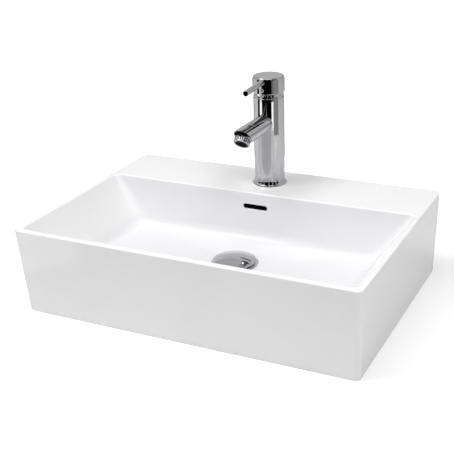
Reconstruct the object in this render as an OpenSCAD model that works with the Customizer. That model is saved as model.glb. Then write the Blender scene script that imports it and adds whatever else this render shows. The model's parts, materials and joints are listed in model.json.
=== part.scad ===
// A rectangular washbasin with a tap ledge, a single-lever mixer tap and a
// push-to-open waste. Millimetres, +Z up. The origin is on the ground under the
// centre of the basin's top outline, and the user stands on the -Y side.

/* [Basin] */
// Width over the top
basin_w = 510; // [430:1:600]
// Depth over the top, front to back
basin_d = 365; // [340:1:440]
// Height from the foot to the top
basin_h = 128; // [118:1:170]
// How far each side draws in from the top to the foot
side_lean = 4; // [0:0.5:12]
// How far the front draws in from the top to the foot
front_lean = 9; // [0:0.5:20]
// Plan radius of the two front corners
front_corner_r = 8; // [3:0.5:10]
// Plan radius of the two back corners
back_corner_r = 12; // [4:0.5:16]
// Rounding along the top outer edge
edge_r = 3; // [1:0.5:3]
// Thickness of the outer wall
wall_t = 7; // [5:0.5:9]
// Thickness of the bowl
bowl_t = 8; // [6:0.5:10]
// Thickness of the ledge that carries the tap
ledge_t = 12; // [9:0.5:15]

/* [Bowl] */
// Width of the rim beside the bowl
rim_side = 8; // [7:0.5:14]
// Width of the rim in front of the bowl
rim_front = 9.6; // [8:0.2:16]
// Depth of the tap ledge, from the bowl to the back
ledge_d = 107.5; // [104:0.5:120]
// Plan radius of the bowl's corners at the rim
bowl_corner_r = 9; // [6:1:16]
// Rounding between the bowl's walls and floor
floor_r = 20; // [14:1:26]
// How far a side wall of the bowl slopes in
side_slope = 41; // [30:1:60]
// How far the bowl's front wall slopes in
front_slope = 28; // [16:1:40]
// How far the bowl's back wall slopes in
back_slope = 5; // [3:1:12]
// Height of the floor at the drain
drain_z = 46; // [44:1:56]
// Height of the floor's outer edge above the drain
floor_rise = 11; // [6:1:18]
// Distance of the drain from the back
drain_back = 185; // [176:1:200]

/* [Overflow] */
// Length of the overflow slot
slot_w = 39.6; // [30:0.2:50]
// Height of the overflow slot
slot_h = 7.5; // [5:0.5:10]
// Distance of the slot's middle under the top
slot_drop = 22; // [20:1:32]
// Width of the channel from the slot to the drain
duct_w = 44; // [36:1:56]
// Depth of that channel behind the bowl
duct_depth = 11; // [8:1:12]
// Wall of that channel
duct_wall = 5; // [4:0.5:6]

/* [Wall fixing] */
// Distance between the two wall bolts
bolt_spacing = 280; // [180:10:340]
// Diameter of the holes for the wall bolts
bolt_hole_d = 18; // [12:1:22]
// Height of the wall bolts above the foot
bolt_z = 62; // [45:1:85]
// Thickening round each wall bolt's hole
bolt_pad_t = 4; // [2:0.5:8]

/* [Waste] */
// Diameter of the drain hole in the ceramic
drain_hole_d = 46; // [45:0.5:50]
// Diameter of the recess for the waste flange
recess_d = 69; // [66:0.5:78]
// Depth of that recess
recess_t = 2.5; // [1.5:0.5:3]
// Thickness of the ceramic under the waste flange
seat_t = 17.5; // [16.5:0.5:18.5]
// Diameter of the waste flange
flange_d = 63; // [60:0.5:65]
// Thickness of the waste flange
flange_t = 2; // [2:0.25:3]
// Outside diameter of the threaded tail
tail_d = 41.9; // [38:0.1:42.4]
// Wall of the tail
tail_wall = 3.4; // [2.5:0.1:4]
// Gap between the tail's end and the ground
tail_gap = 2; // [1:0.5:4]
// Width of each overflow window in the tail
window_w = 14; // [8:1:18]
// Height of each overflow window, and of the channel's mouth behind it
window_h = 8; // [6:0.5:8.5]
// Thickness of the seal over the ceramic
upper_seal_t = 1.5; // [1:0.25:2]
// Thickness of the gasket under the ceramic
lower_seal_t = 4; // [3:0.5:5]
// Thickness of the slip washer
slip_t = 1; // [0.5:0.25:1.5]
// Height of the back nut
back_nut_h = 9; // [7:0.5:10]
// Width of the back nut across its flats
back_nut_af = 54; // [50:1:60]

/* [Waste cap] */
// Diameter of the domed cap
plug_d = 64.5; // [63:0.5:68]
// Gap between the waste flange and the closed cap's edge
plug_gap = 1.8; // [0.4:0.2:2.6]
// Thickness of the cap's edge
plug_edge = 2.4; // [2:0.2:3.5]
// Rise of the cap's dome over its edge
plug_dome = 5.8; // [2:0.2:8]
// How far the cap pops up
plug_travel = 9; // [6:0.5:9.5]
// Outside diameter of the latch housing
latch_d = 14; // [12:0.5:16]
// Wall of the latch housing
latch_wall = 1.7; // [1.2:0.1:2]
// Diameter of the plunger's rod
plunger_d = 5; // [4:0.25:6]
// Wire of the latch spring
spring_wire = 0.9; // [0.6:0.1:1.1]

/* [Tap body] */
// Distance of the tap from the back
tap_back = 52.5; // [46:0.5:54]
// Diameter of the tap hole
tap_hole_d = 35; // [33:0.5:37]
// Diameter of the tap body
body_d = 46; // [45:0.5:50]
// Height of the tap body over the ledge
body_h = 137; // [125:1:170]
// Diameter of the foot of the tap
base_d = 53; // [51:0.5:60]
// Height of the flare above the foot
flare_h = 14; // [8:1:22]
// Wall of the hollow body
body_wall = 3; // [2:0.25:3.5]
// Diameter of each inlet thread
inlet_d = 9; // [8:0.5:10]
// Depth of each inlet thread
inlet_l = 12; // [9:1:13]
// Distance between the two inlets
inlet_pitch = 16; // [15:0.5:18]

/* [Spout] */
// Outside diameter of the spout
spout_d = 27.2; // [26:0.2:30]
// Bore of the spout
spout_bore = 14; // [12:0.5:18]
// Depth of the spout's axis under the top of the body
spout_drop = 38; // [36:1:50]
// Distance from the tap axis to the middle of the spout's slanted end
spout_reach = 93; // [75:1:130]
// Angle between the aerator's axis and straight down
spout_cut = 45; // [38:1:52]
// Width of the lip round the spout's slanted end
end_lip = 1.6; // [1:0.1:2]
// Depth of the recess inside that lip
end_recess = 2.5; // [1:0.5:3.5]
// Outside diameter of the aerator collar
aerator_d = 24; // [23:0.2:25.4]
// How far the collar stands out of the spout
aerator_l = 10.5; // [8:0.5:13]
// How far the collar sits below the middle of the slanted end
aerator_drop = 2.5; // [0:0.5:4]
// Number of grip ribs round the collar
aerator_ribs = 24; // [12:1:36]

/* [Handle] */
// How far the handle stands proud of the tap body all round
handle_proud = 1; // [0.5:0.25:2]
// Height of the handle
handle_h = 24.3; // [23:0.1:30]
// Wall of the handle's skirt
handle_wall = 2.5; // [2:0.1:2.6]
// Rounding of the handle's top edge
handle_edge_r = 3; // [1:0.5:4]
// Diameter of the lever
lever_d = 8.6; // [6:0.2:9]
// Distance from the tap axis to the lever's tip
lever_reach = 81; // [60:1:110]
// Depth of the lever's axis under the top of the handle
lever_drop = 6; // [5.5:0.5:7]
// How far the lever dips below level, in degrees
lever_dip = 3; // [0:0.5:6]
// Diameter of the indicator plug
dot_d = 6.5; // [5:0.5:7]
// Travel of the handle, in degrees
lift_angle = 25; // [15:1:25]
// Height of the trim ring between the body and the handle
trim_h = 6.6; // [5:0.1:7]

/* [Cartridge] */
// Diameter of the cartridge
cart_d = 35; // [34:0.5:36]
// Diameter of its upper part, inside the retaining nut
cart_neck_d = 29.6; // [28:0.2:30]
// Thickness of the cartridge's base
cart_base_t = 3; // [2:0.5:3.5]
// Thickness of each ceramic disc
disc_t = 2.6; // [2:0.1:3]
// Diameter of the fixed disc
fixed_disc_d = 28; // [26:0.5:29]
// Diameter of the moving disc
moving_disc_d = 20; // [18:0.5:21]
// Distance from the stem's pivot to its lower end
stem_arm = 9; // [8:0.25:9.5]
// Width of the stem
stem_w = 9; // [7:0.25:9.5]
// Thickness of the stem
stem_t = 8; // [6:0.25:8.5]
// Diameter of the pivot pin
pin_d = 3; // [2:0.25:3.5]

/* [Fixing] */
// Diameter of the fixing stud
stud_d = 8; // [6:0.5:8]
// How far the stud hangs below the ledge's underside
stud_l = 34; // [28:1:44]
// Diameter of the horseshoe washers
washer_d = 48; // [44:0.5:49]
// Thickness of the rubber washer
rubber_t = 3; // [2:0.5:4]
// Thickness of the steel washer
steel_t = 2.5; // [1.5:0.25:3]
// Height of the fixing nut
stud_nut_h = 9.5; // [6:0.5:14]
// Width of the fixing nut across its flats
stud_nut_af = 13; // [11:0.5:14]

/* [Hidden] */
$fn = 64;
// Roundness of the pieces inside a hull
hull_fn = 32;
// Steps along a rounded edge
edge_steps = 5;
// Radial clearance of a thread or a running fit
fit = 0.05;
// Clearance between a moving piece and what it passes
run = 0.3;
// Clearance round a seal, a washer or a loose piece
loose = 0.2;
// Overshoot of a cut past the face that it opens
over = 1;
// Height of the short posts that a hull is stretched over
post = 1;

half_w = basin_w / 2;
half_d = basin_d / 2;
cavity_corner_r = 6;
bowl_back_y = half_d - ledge_d;
bowl_front_y = -half_d + rim_front;
bowl_half_w = half_w - rim_side;
tap_y = half_d - tap_back;
drain_y = half_d - drain_back;
drain_lip = 1.5;
boss_margin = 2;

slot_z = basin_h - slot_drop;
seat_z = drain_z - recess_t;
boss_z = seat_z - seat_t;
window_z = boss_z + duct_wall + run + loose;
duct_head = 4;
duct_top_z = slot_z + slot_h / 2 + duct_head;
bolt_pad_w = 10;

flange_z = seat_z + upper_seal_t;
flange_top_z = flange_z + flange_t;
tail_r = tail_d / 2;
tail_bore_r = tail_r - tail_wall;
tail_bevel = 1;
// A run-out groove parts the trap's end of the thread from the back nut's
back_nut_z = boss_z - lower_seal_t - slip_t - back_nut_h;
groove_w = 1;
groove_t = 0.6;
dish_r = 25;
dish_drop = 0.8;
upper_seal_r = flange_d / 2 - 1.5;
lower_seal_w = 8;
// The gasket's cone centres the tail in the drain hole
cone_h = 2.5;
cone_w = 0.7;
plug_z = flange_top_z + plug_gap;
plug_seal_z = flange_top_z + 0.4 - run;
plug_ceiling_z = plug_z + 1.5;
plug_socket_h = 2.2;
plug_boss_wall = 4;
plug_boss_drop = 1.2;
plug_seal_r = dish_r - 1;
plug_seal_w = 3.5;
bridge_z = tail_gap + 20;
bridge_h = 6;
bridge_w = 6;
latch_z = bridge_z;
latch_top_z = plug_z - plug_boss_drop - 2.2;
latch_lip = 1.5;
latch_floor = 1.6;
hub_wall = 2.5;
cam_h = 2;
cam_teeth = 6;
head_h = 2;
head_top_z = latch_top_z - latch_lip - plug_travel - cam_h - 0.4;
head_r = latch_d / 2 - latch_wall - fit * 2;

body_r = body_d / 2;
handle_gap = 0.6;
handle_r = body_r + handle_proud;
handle_z = body_h + trim_h + handle_gap;
handle_top = handle_z + handle_h;
skirt_r = handle_r - handle_wall;
spout_z = body_h - spout_drop;
lever_z = handle_top - lever_drop;
pocket_z = body_h - 25;
cart_r = cart_d / 2;
nut_r = cart_r + 1.5;
nut_h = 10;
cart_shoulder_z = body_h - nut_h;
cart_top_z = body_h + 1;
seal_t = 1;
cart_base_z = pocket_z + seal_t;
fixed_z = cart_base_z + cart_base_t;
moving_z = fixed_z + disc_t + 0.02;
slider_z = moving_z + disc_t;
slider_h = 4.4;
carrier_z = slider_z + slider_h + run;
carrier_top_z = cart_top_z - latch_lip - run;
// The stem's lower end rides in the slider, and the pivot lies one arm above it
stem_end_z = slider_z + 2.4;
stem_end_r = 2.2;
// Play of the stem's end in the slider, which the tilt of its neck takes up
end_play = 0.25;
stem_neck_t = 2.2;
pivot_z = stem_end_z + stem_arm;
carrier_r = cart_neck_d / 2 - 2 - run;
socket_clear = 0.1;
handle_boss_r = 8.5;
// The trim ring is a dome about the pivot, so the handle's skirt swings past it
dome_r = norm([skirt_r, handle_z - pivot_z]) - 0.7;
// A tilted handle's ceiling passes over the top outer corner of the trim ring
trim_top_r = sqrt(pow(dome_r, 2) - pow(body_h + trim_h - pivot_z, 2));
handle_ceiling_z = pivot_z + trim_top_r * sin(lift_angle)
    + (body_h + trim_h - pivot_z) * cos(lift_angle) + 1;
dot_z = handle_z + dot_d / 2 + 2.5;
stud_y = -11;
stud_depth = 10;
core_hole_y = 13;
core_hole_r = 4;
inlet_y = 4;
outlet_y = -8;
port_r = 4;
riser_wall = 2.5;
block_z = spout_z - spout_d / 2 - 2;
base_plate_t = inlet_l + 2;
base_seal_r = base_d / 2 - 2.5;
base_seal_w = 3;
base_seal_t = 2;
// The aerator's thread, its bore and the pieces stacked in it, along its own axis
thread_depth = 6;
aerator_thread_r = aerator_d / 2 - 1;
aerator_bore_r = aerator_d / 2 - 2;
aerator_lip_h = 4.5;
aerator_lip_w = 0.6;
aerator_washer_t = 1.4;
insert_z = -4;
screen_h = 1.2;
// The lever's root in the handle, and the handle's boss round the stem
lever_root = 10;
boss_bottom_z = handle_z + 2;
stem_top_z = handle_ceiling_z + 5;
grub_r = 2.5;
// The horseshoe washers leave room for the two hoses
hose_d = 11;

// Half width of the outer wall at height z
function side_at(z) = half_w - side_lean * (1 - z / basin_h);

// Front of the outer wall at height z
function front_at(z) = -half_d + front_lean * (1 - z / basin_h);

// Back wall of the bowl at height z
function bowl_back_at(z) =
    bowl_back_y - back_slope * (basin_h - z) / (basin_h - drain_z - floor_rise - floor_r);

// Quarter circle of radius r about [x, y], from the angle a0 on
function quarter(x, y, r, a0) = [
    for (i = [0 : edge_steps]) let (a = a0 + 90 * i / edge_steps) [x + r * cos(a), y + r * sin(a)]
];

module ring(r_out, r_in, h) {
    difference() {
        cylinder(r = r_out, h = h);
        translate([0, 0, -over]) cylinder(r = r_in, h = h + 2 * over);
    }
}

module hex_nut(across_flats, bore_r, h) {
    difference() {
        cylinder(r = across_flats / sqrt(3), h = h, $fn = 6);
        translate([0, 0, -over]) cylinder(r = bore_r, h = h + 2 * over);
    }
}

// Basin

module rim_corner(r) {
    rotate_extrude($fn = hull_fn)
        polygon(concat(
            [[0, basin_h - edge_r - post], [r, basin_h - edge_r - post]],
            quarter(r - edge_r, basin_h - edge_r, edge_r, 0),
            [[0, basin_h]]));
}

module outer_form() {
    hull() {
        for (side = [-1, 1]) {
            translate([side * (side_at(0) - front_corner_r), front_at(0) + front_corner_r, 0])
                cylinder(r = front_corner_r, h = post, $fn = hull_fn);
            translate([side * (side_at(0) - back_corner_r), half_d - back_corner_r, 0])
                cylinder(r = back_corner_r, h = post, $fn = hull_fn);
            translate([side * (half_w - front_corner_r), -half_d + front_corner_r, 0])
                rim_corner(front_corner_r);
            translate([side * (half_w - back_corner_r), half_d - back_corner_r, 0])
                rim_corner(back_corner_r);
        }
    }
}

// The hollow inside the outer wall, up to the underside of the ledge
module cavity_form() {
    inset = wall_t + cavity_corner_r;
    hull() {
        for (side = [-1, 1], z = [-over, basin_h - ledge_t - post]) {
            translate([side * (side_at(z) - inset), front_at(z) + inset, z])
                cylinder(r = cavity_corner_r, h = post, $fn = hull_fn);
            translate([side * (side_at(z) - inset), half_d - inset, z])
                cylinder(r = cavity_corner_r, h = post, $fn = hull_fn);
        }
    }
}

// The bowl's hollow, or its outside when it is grown by the bowl's thickness
module bowl_form(grow) {
    top_r = bowl_corner_r + grow;
    low_r = floor_r + grow;
    low_z = drain_z + floor_rise + floor_r;
    hull() {
        for (side = [-1, 1]) {
            for (y = [bowl_front_y + bowl_corner_r, bowl_back_y - bowl_corner_r])
                translate([side * (bowl_half_w - bowl_corner_r), y, basin_h])
                    cylinder(r = top_r, h = post, $fn = hull_fn);
            for (y = [bowl_front_y + front_slope + floor_r, bowl_back_y - back_slope - floor_r])
                translate([side * (bowl_half_w - side_slope - floor_r), y, low_z])
                    sphere(r = low_r, $fn = hull_fn);
        }
        translate([0, drain_y, drain_z - grow])
            cylinder(r = recess_d / 2 + drain_lip, h = post, $fn = hull_fn);
    }
}

// Side view of the overflow channel, grown by g for its outside
function duct_points(g) = [
    [bowl_back_at(duct_top_z) + bowl_t - g, duct_top_z + g],
    [bowl_back_at(duct_top_z) + bowl_t + duct_depth + g, duct_top_z + g],
    [bowl_back_at(drain_z) + bowl_t + duct_depth + g, drain_z + floor_rise + g / 2],
    [bowl_back_y - g / 4, window_z + window_h + duct_wall - g],
    [drain_y + drain_hole_d, window_z - g],
    [drain_y + drain_hole_d / 4, window_z - g],
    [drain_y + drain_hole_d / 4, window_z + window_h],
    [drain_y + drain_hole_d, window_z + window_h + g],
    [bowl_back_y - duct_depth * 1.2 - g, drain_z + floor_rise / 4 + g],
    [bowl_back_at(drain_z) + bowl_t - g, drain_z + floor_rise + duct_wall + g]
];

module duct(g) {
    translate([-duct_w / 2 - g, 0, 0])
        rotate([90, 0, 90])
            linear_extrude(height = duct_w + 2 * g)
                polygon(duct_points(g));
}

module overflow_slot() {
    slot_l = bowl_t + duct_depth;
    translate([0, bowl_back_at(slot_z) - duct_depth / 2, slot_z]) rotate([-90, 0, 0]) {
        for (side = [-1, 1])
            translate([side * (slot_w - slot_h) / 2, 0, 0]) cylinder(r = slot_h / 2, h = slot_l);
        translate([-(slot_w - slot_h) / 2, -slot_h / 2, 0]) cube([slot_w - slot_h, slot_h, slot_l]);
    }
}

module basin() {
    bolt_pad_r = bolt_hole_d / 2 + bolt_pad_w;
    color("white") difference() {
        outer_form();
        difference() {
            cavity_form();
            bowl_form(bowl_t);
            translate([0, drain_y, boss_z]) cylinder(r = recess_d / 2 + boss_margin, h = drain_z - boss_z);
            duct(duct_wall);
            for (side = [-1, 1])
                translate([side * bolt_spacing / 2, half_d - wall_t - bolt_pad_t, bolt_z])
                    rotate([-90, 0, 0]) cylinder(r = bolt_pad_r, h = wall_t + bolt_pad_t - over);
        }
        bowl_form(0);
        duct(0);
        overflow_slot();
        translate([0, drain_y, seat_z]) cylinder(r = recess_d / 2, h = recess_t + drain_lip);
        translate([0, drain_y, boss_z - over]) cylinder(r = drain_hole_d / 2, h = seat_t + 2 * over);
        translate([0, tap_y, basin_h - ledge_t - over])
            cylinder(r = tap_hole_d / 2, h = ledge_t + 2 * over);
        for (side = [-1, 1])
            translate([side * bolt_spacing / 2, half_d - wall_t - bolt_pad_t - over, bolt_z])
                rotate([-90, 0, 0]) cylinder(r = bolt_hole_d / 2, h = wall_t + bolt_pad_t + 2 * over);
    }
}

// Waste

module at_drain(z) {
    translate([0, drain_y, z]) children();
}

module waste_body() {
    edge = 0.5;
    hub_r = latch_d / 2 + hub_wall;
    color("silver") at_drain(0) {
        difference() {
            rotate_extrude()
                polygon([
                    [tail_bore_r, tail_gap], [tail_r - tail_bevel, tail_gap],
                    [tail_r, tail_gap + tail_bevel], [tail_r, back_nut_z - 1.5 * groove_w],
                    [tail_r - groove_t, back_nut_z - 1.5 * groove_w],
                    [tail_r - groove_t, back_nut_z - groove_w / 2],
                    [tail_r, back_nut_z - groove_w / 2], [tail_r, flange_z],
                    [flange_d / 2 - edge, flange_z], [flange_d / 2, flange_z + edge],
                    [flange_d / 2, flange_z + flange_t / 2], [flange_d / 2 - 2 * edge, flange_top_z],
                    [dish_r, flange_top_z], [tail_r, flange_top_z - dish_drop],
                    [tail_bore_r, flange_top_z - dish_drop - tail_bevel]]);
            for (turn = [0 : 90 : 270])
                rotate([0, 0, turn])
                    translate([-window_w / 2, 0, window_z]) cube([window_w, tail_r + over, window_h]);
        }
        difference() {
            translate([0, 0, bridge_z]) union() {
                cylinder(r = hub_r, h = bridge_h);
                translate([-tail_bore_r - tail_wall / 2, -bridge_w / 2, 0])
                    cube([2 * tail_bore_r + tail_wall, bridge_w, bridge_h]);
            }
            translate([0, 0, bridge_z - over]) cylinder(r = latch_d / 2 + fit, h = bridge_h + 2 * over);
        }
    }
}

module waste_upper_seal() {
    color("dimgray") at_drain(seat_z) ring(upper_seal_r, tail_r + 1, upper_seal_t);
}

module waste_lower_seal() {
    color("dimgray") at_drain(boss_z - lower_seal_t)
        rotate_extrude()
            polygon([
                [tail_r + loose, 0], [tail_r + lower_seal_w, 0], [tail_r + lower_seal_w, lower_seal_t],
                [drain_hole_d / 2 - loose, lower_seal_t], [tail_r + loose + cone_w, lower_seal_t + cone_h],
                [tail_r + loose, lower_seal_t + cone_h]]);
}

module waste_slip_washer() {
    color("whitesmoke") at_drain(boss_z - lower_seal_t - slip_t)
        ring(tail_r + lower_seal_w - 0.5, tail_r + loose, slip_t);
}

module waste_back_nut() {
    color("goldenrod") at_drain(back_nut_z)
        hex_nut(back_nut_af, tail_r + fit, back_nut_h);
}

module waste_cap() {
    plug_r = plug_d / 2;
    // Radius of the sphere that the dome is part of
    crown_r = (pow(plug_r, 2) + pow(plug_dome, 2)) / (2 * plug_dome);
    crown_z = plug_z + plug_edge + plug_dome - crown_r;
    boss_r = plunger_d / 2 + plug_boss_wall;
    boss_z = plug_z - plug_boss_drop;
    bore_r = plunger_d / 2 + fit;
    crown_angle = asin(plug_r / crown_r);
    color("silver") at_drain(0)
        rotate_extrude()
            polygon(concat(
                [[0, plug_ceiling_z + plug_socket_h], [bore_r, plug_ceiling_z + plug_socket_h],
                 [bore_r, boss_z], [boss_r, boss_z], [boss_r, plug_ceiling_z + plug_boss_drop],
                 [plug_seal_r - plug_seal_w - 0.5, plug_ceiling_z], [plug_r - 3, plug_ceiling_z],
                 [plug_r - 2, plug_z], [plug_r - 0.7, plug_z]],
                [for (i = [0 : 8]) let (a = crown_angle * (1 - i / 8))
                    [crown_r * sin(a), crown_z + crown_r * cos(a)]]));
}

module waste_cap_seal() {
    color("black") at_drain(plug_seal_z)
        ring(plug_seal_r, plug_seal_r - plug_seal_w, plug_ceiling_z - plug_seal_z);
}

module waste_plunger() {
    color("khaki") at_drain(head_top_z - head_h) {
        cylinder(r = head_r, h = head_h);
        cylinder(r = plunger_d / 2,
            h = plug_ceiling_z + plug_socket_h - loose - head_top_z + head_h);
    }
}

module waste_latch_cam() {
    notch_w = 1.6;
    notch_d = 0.9;
    color("ivory") at_drain(head_top_z + fit) difference() {
        ring(head_r, plunger_d / 2 + fit, cam_h);
        for (i = [0 : cam_teeth - 1])
            rotate([0, 0, i * 360 / cam_teeth])
                translate([head_r - 1.2, -notch_w / 2, cam_h - notch_d]) cube([3, notch_w, cam_h]);
    }
}

module waste_latch_spring() {
    floor_z = latch_z + latch_floor + fit;
    color("gray") at_drain(floor_z)
        ring(head_r - run, head_r - run - spring_wire, head_top_z - head_h - fit - floor_z);
}

module waste_latch_housing() {
    bore_r = latch_d / 2 - latch_wall;
    color("khaki") at_drain(0)
        difference() {
            translate([0, 0, latch_z]) cylinder(r = latch_d / 2, h = latch_top_z - latch_z);
            translate([0, 0, latch_z + latch_floor])
                cylinder(r = bore_r, h = latch_top_z - latch_z - latch_floor - latch_lip);
            translate([0, 0, latch_top_z - latch_lip - over])
                cylinder(r = plunger_d / 2 + fit, h = latch_lip + 2 * over);
        }
}

// Tap body

module at_tap(z) {
    translate([0, tap_y, basin_h + z]) children();
}

// The frame of the spout's slanted end, with +Z out along the aerator's axis
module at_spout_end(drop) {
    at_tap(spout_z) translate([0, -spout_reach, 0]) rotate([180 - spout_cut, 0, 0])
        translate([0, -drop, 0]) children();
}

// The same frame inside the tap's own frame
module tap_spout_end(drop) {
    translate([0, -spout_reach, spout_z]) rotate([180 - spout_cut, 0, 0])
        translate([0, -drop, 0]) children();
}

module body_form() {
    foot_h = 1.5;
    bevel = 0.6;
    rotate_extrude()
        polygon(concat(
            [[0, 0], [base_d / 2, 0]],
            [for (i = [0 : 8]) let (a = 90 * i / 8)
                [body_r + (base_d / 2 - body_r) * (1 - sin(a)), foot_h + (flare_h - foot_h) * (1 - cos(a))]],
            [[body_r, body_h - bevel], [body_r - bevel, body_h], [0, body_h]]));
}

module spout_form() {
    tip = spout_d / 2 / tan(spout_cut);
    difference() {
        translate([0, 0, spout_z]) rotate([90, 0, 0])
            cylinder(r = spout_d / 2, h = spout_reach + tip + over);
        tap_spout_end(0) translate([-base_d, -base_d, 0]) cube(2 * base_d);
    }
}

module tap_body() {
    riser_r = port_r + riser_wall;
    color("silver") at_tap(0) difference() {
        union() {
            body_form();
            spout_form();
        }
        // Hollow of the lower body, with a riser pipe for each inlet left standing in it
        difference() {
            translate([0, 0, base_plate_t]) cylinder(r = body_r - body_wall, h = block_z - base_plate_t);
            for (side = [-1, 1])
                translate([side * inlet_pitch / 2, inlet_y, base_plate_t - over])
                    cylinder(r = riser_r, h = block_z - base_plate_t + 2 * over);
        }
        for (side = [-1, 1]) {
            translate([side * inlet_pitch / 2, inlet_y, -over])
                cylinder(r = inlet_d / 2, h = inlet_l + over);
            translate([side * inlet_pitch / 2, inlet_y, 0])
                cylinder(r = port_r, h = pocket_z + over);
        }
        // Hole that the casting core leaves through the base
        translate([0, core_hole_y, -over]) cylinder(r = core_hole_r, h = base_plate_t + 2 * over);
        translate([0, stud_y, -over]) cylinder(r = stud_d / 2 + fit, h = stud_depth + over);
        // Groove of the base seal
        translate([0, 0, -over])
            ring(base_seal_r + loose / 2, base_seal_r - base_seal_w - loose, base_seal_t + over);
        // Cartridge pocket and the thread of its nut
        translate([0, 0, pocket_z])
            cylinder(r = cart_r + loose / 2, h = body_h - pocket_z + over);
        translate([0, 0, cart_shoulder_z]) cylinder(r = nut_r + fit, h = nut_h + over);
        // Way from the cartridge to the spout and out to the aerator
        translate([0, outlet_y, spout_z]) cylinder(r = port_r, h = pocket_z - spout_z + over);
        translate([0, outlet_y + port_r, spout_z]) rotate([90, 0, 0])
            cylinder(r = spout_bore / 2, h = spout_reach + outlet_y + port_r - aerator_bore_r * 0.6);
        tap_spout_end(aerator_drop) translate([0, 0, -thread_depth - 2])
            cylinder(r = aerator_thread_r + fit, h = aerator_d);
        // Recess inside the lip of the slanted end
        intersection() {
            translate([0, 0, spout_z]) rotate([90, 0, 0])
                cylinder(r = spout_d / 2 - end_lip, h = spout_reach + base_d);
            tap_spout_end(0) translate([-base_d, -base_d, -end_recess]) cube(2 * base_d);
        }
    }
}

module tap_base_seal() {
    color("dimgray") at_tap(0)
        ring(base_seal_r, base_seal_r - base_seal_w, base_seal_t - loose / 2);
}

module tap_trim_ring() {
    color("silver") at_tap(0) intersection() {
        translate([0, 0, pivot_z]) sphere(r = dome_r);
        translate([0, 0, body_h]) ring(body_r - 0.3, cart_neck_d / 2 + 0.6, trim_h);
    }
}

module tap_retaining_nut() {
    color("goldenrod") at_tap(cart_shoulder_z) difference() {
        ring(nut_r, cart_neck_d / 2 + loose / 2, nut_h);
        for (turn = [0 : 90 : 270])
            rotate([0, 0, turn]) translate([cart_neck_d / 2 - 1, -2, nut_h - 2.5]) cube([3.2, 4, 4]);
    }
}

// Aerator

module aerator_collar() {
    rib_r = 0.55;
    rib_l = aerator_l - 5;
    color("silver") at_spout_end(aerator_drop) difference() {
        union() {
            cylinder(r = aerator_d / 2 - rib_r / 2, h = aerator_l - 0.6);
            translate([0, 0, aerator_l - 0.6])
                cylinder(r1 = aerator_d / 2 - rib_r / 2, r2 = aerator_d / 2 - 1, h = 0.6);
            translate([0, 0, -thread_depth]) cylinder(r = aerator_thread_r, h = thread_depth + over);
            for (i = [0 : aerator_ribs - 1])
                rotate([0, 0, i * 360 / aerator_ribs])
                    translate([aerator_d / 2 - rib_r, 0, 2]) cylinder(r = rib_r, h = rib_l, $fn = 16);
        }
        translate([0, 0, -thread_depth - over])
            cylinder(r = aerator_bore_r, h = thread_depth + aerator_l - aerator_lip_h + over);
        cylinder(r = aerator_bore_r - aerator_lip_w, h = aerator_l + over);
    }
}

module aerator_insert() {
    hole_r = 0.9;
    hole_step = 2.8;
    insert_h = aerator_l - aerator_lip_h - 0.1 - insert_z;
    color("dimgray") at_spout_end(aerator_drop) translate([0, 0, insert_z]) difference() {
        cylinder(r = aerator_bore_r - fit, h = insert_h);
        for (ring_at = [0 : 2], i = [0 : max(0, 6 * ring_at - 1)])
            rotate([0, 0, i * 60 / max(1, ring_at)])
                translate([ring_at * hole_step, 0, -over]) cylinder(r = hole_r, h = insert_h + 2 * over);
    }
}

module aerator_screen() {
    color("gray") at_spout_end(aerator_drop) translate([0, 0, insert_z - screen_h - loose]) difference() {
        cylinder(r = aerator_bore_r - run, h = screen_h);
        translate([0, 0, -over]) cylinder(r = aerator_bore_r - 2, h = over + screen_h / 2);
    }
}

module aerator_washer() {
    color("black") at_spout_end(aerator_drop) translate([0, 0, -thread_depth - 0.1 - aerator_washer_t])
        ring(aerator_thread_r - run, aerator_bore_r - 2, aerator_washer_t);
}

// Cartridge

// The three ways through the cartridge's base, its seals and the fixed disc
module ports(z, h, r) {
    for (side = [-1, 1])
        translate([side * inlet_pitch / 2, inlet_y, z]) cylinder(r = r, h = h);
    translate([0, outlet_y, z]) cylinder(r = r, h = h);
}

module cartridge_seals() {
    color("firebrick") at_tap(pocket_z) difference() {
        ports(0, seal_t, port_r + 1.2);
        ports(-over, seal_t + 2 * over, port_r);
    }
}

module cartridge_base() {
    color("ivory") at_tap(cart_base_z) difference() {
        cylinder(r = cart_r, h = cart_base_t);
        ports(-over, cart_base_t + 2 * over, port_r);
    }
}

module cartridge_fixed_disc() {
    color("lightgray") at_tap(fixed_z) difference() {
        cylinder(r = fixed_disc_d / 2, h = disc_t);
        ports(-over, disc_t + 2 * over, port_r - 0.8);
    }
}

module cartridge_moving_disc() {
    color("gainsboro") at_tap(moving_z) difference() {
        cylinder(r = moving_disc_d / 2, h = disc_t);
        translate([0, -2, -over]) cylinder(r = port_r, h = over + disc_t / 2);
    }
}

// The tongue and groove round the stem's lower end
module cartridge_slider() {
    color("peru") at_tap(slider_z) difference() {
        cylinder(r = moving_disc_d / 2, h = slider_h);
        translate([-stem_w / 2 - run, -stem_end_r - end_play, -over])
            cube([stem_w + 2 * run, 2 * (stem_end_r + end_play), slider_h + 2 * over]);
    }
}

module cartridge_housing() {
    lower_r = fixed_disc_d / 2 + 0.3;
    neck_bore_r = carrier_r + run;
    color("ivory") at_tap(0) difference() {
        union() {
            translate([0, 0, fixed_z]) cylinder(r = cart_r, h = cart_shoulder_z - fixed_z);
            translate([0, 0, fixed_z]) cylinder(r = cart_neck_d / 2, h = cart_top_z - fixed_z);
        }
        translate([0, 0, fixed_z - over]) cylinder(r = lower_r, h = carrier_z - fixed_z + over - run);
        translate([0, 0, fixed_z]) cylinder(r = neck_bore_r, h = carrier_top_z + run - fixed_z);
        translate([0, 0, fixed_z]) cylinder(r = neck_bore_r - 3, h = cart_top_z - fixed_z + over);
    }
}

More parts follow.
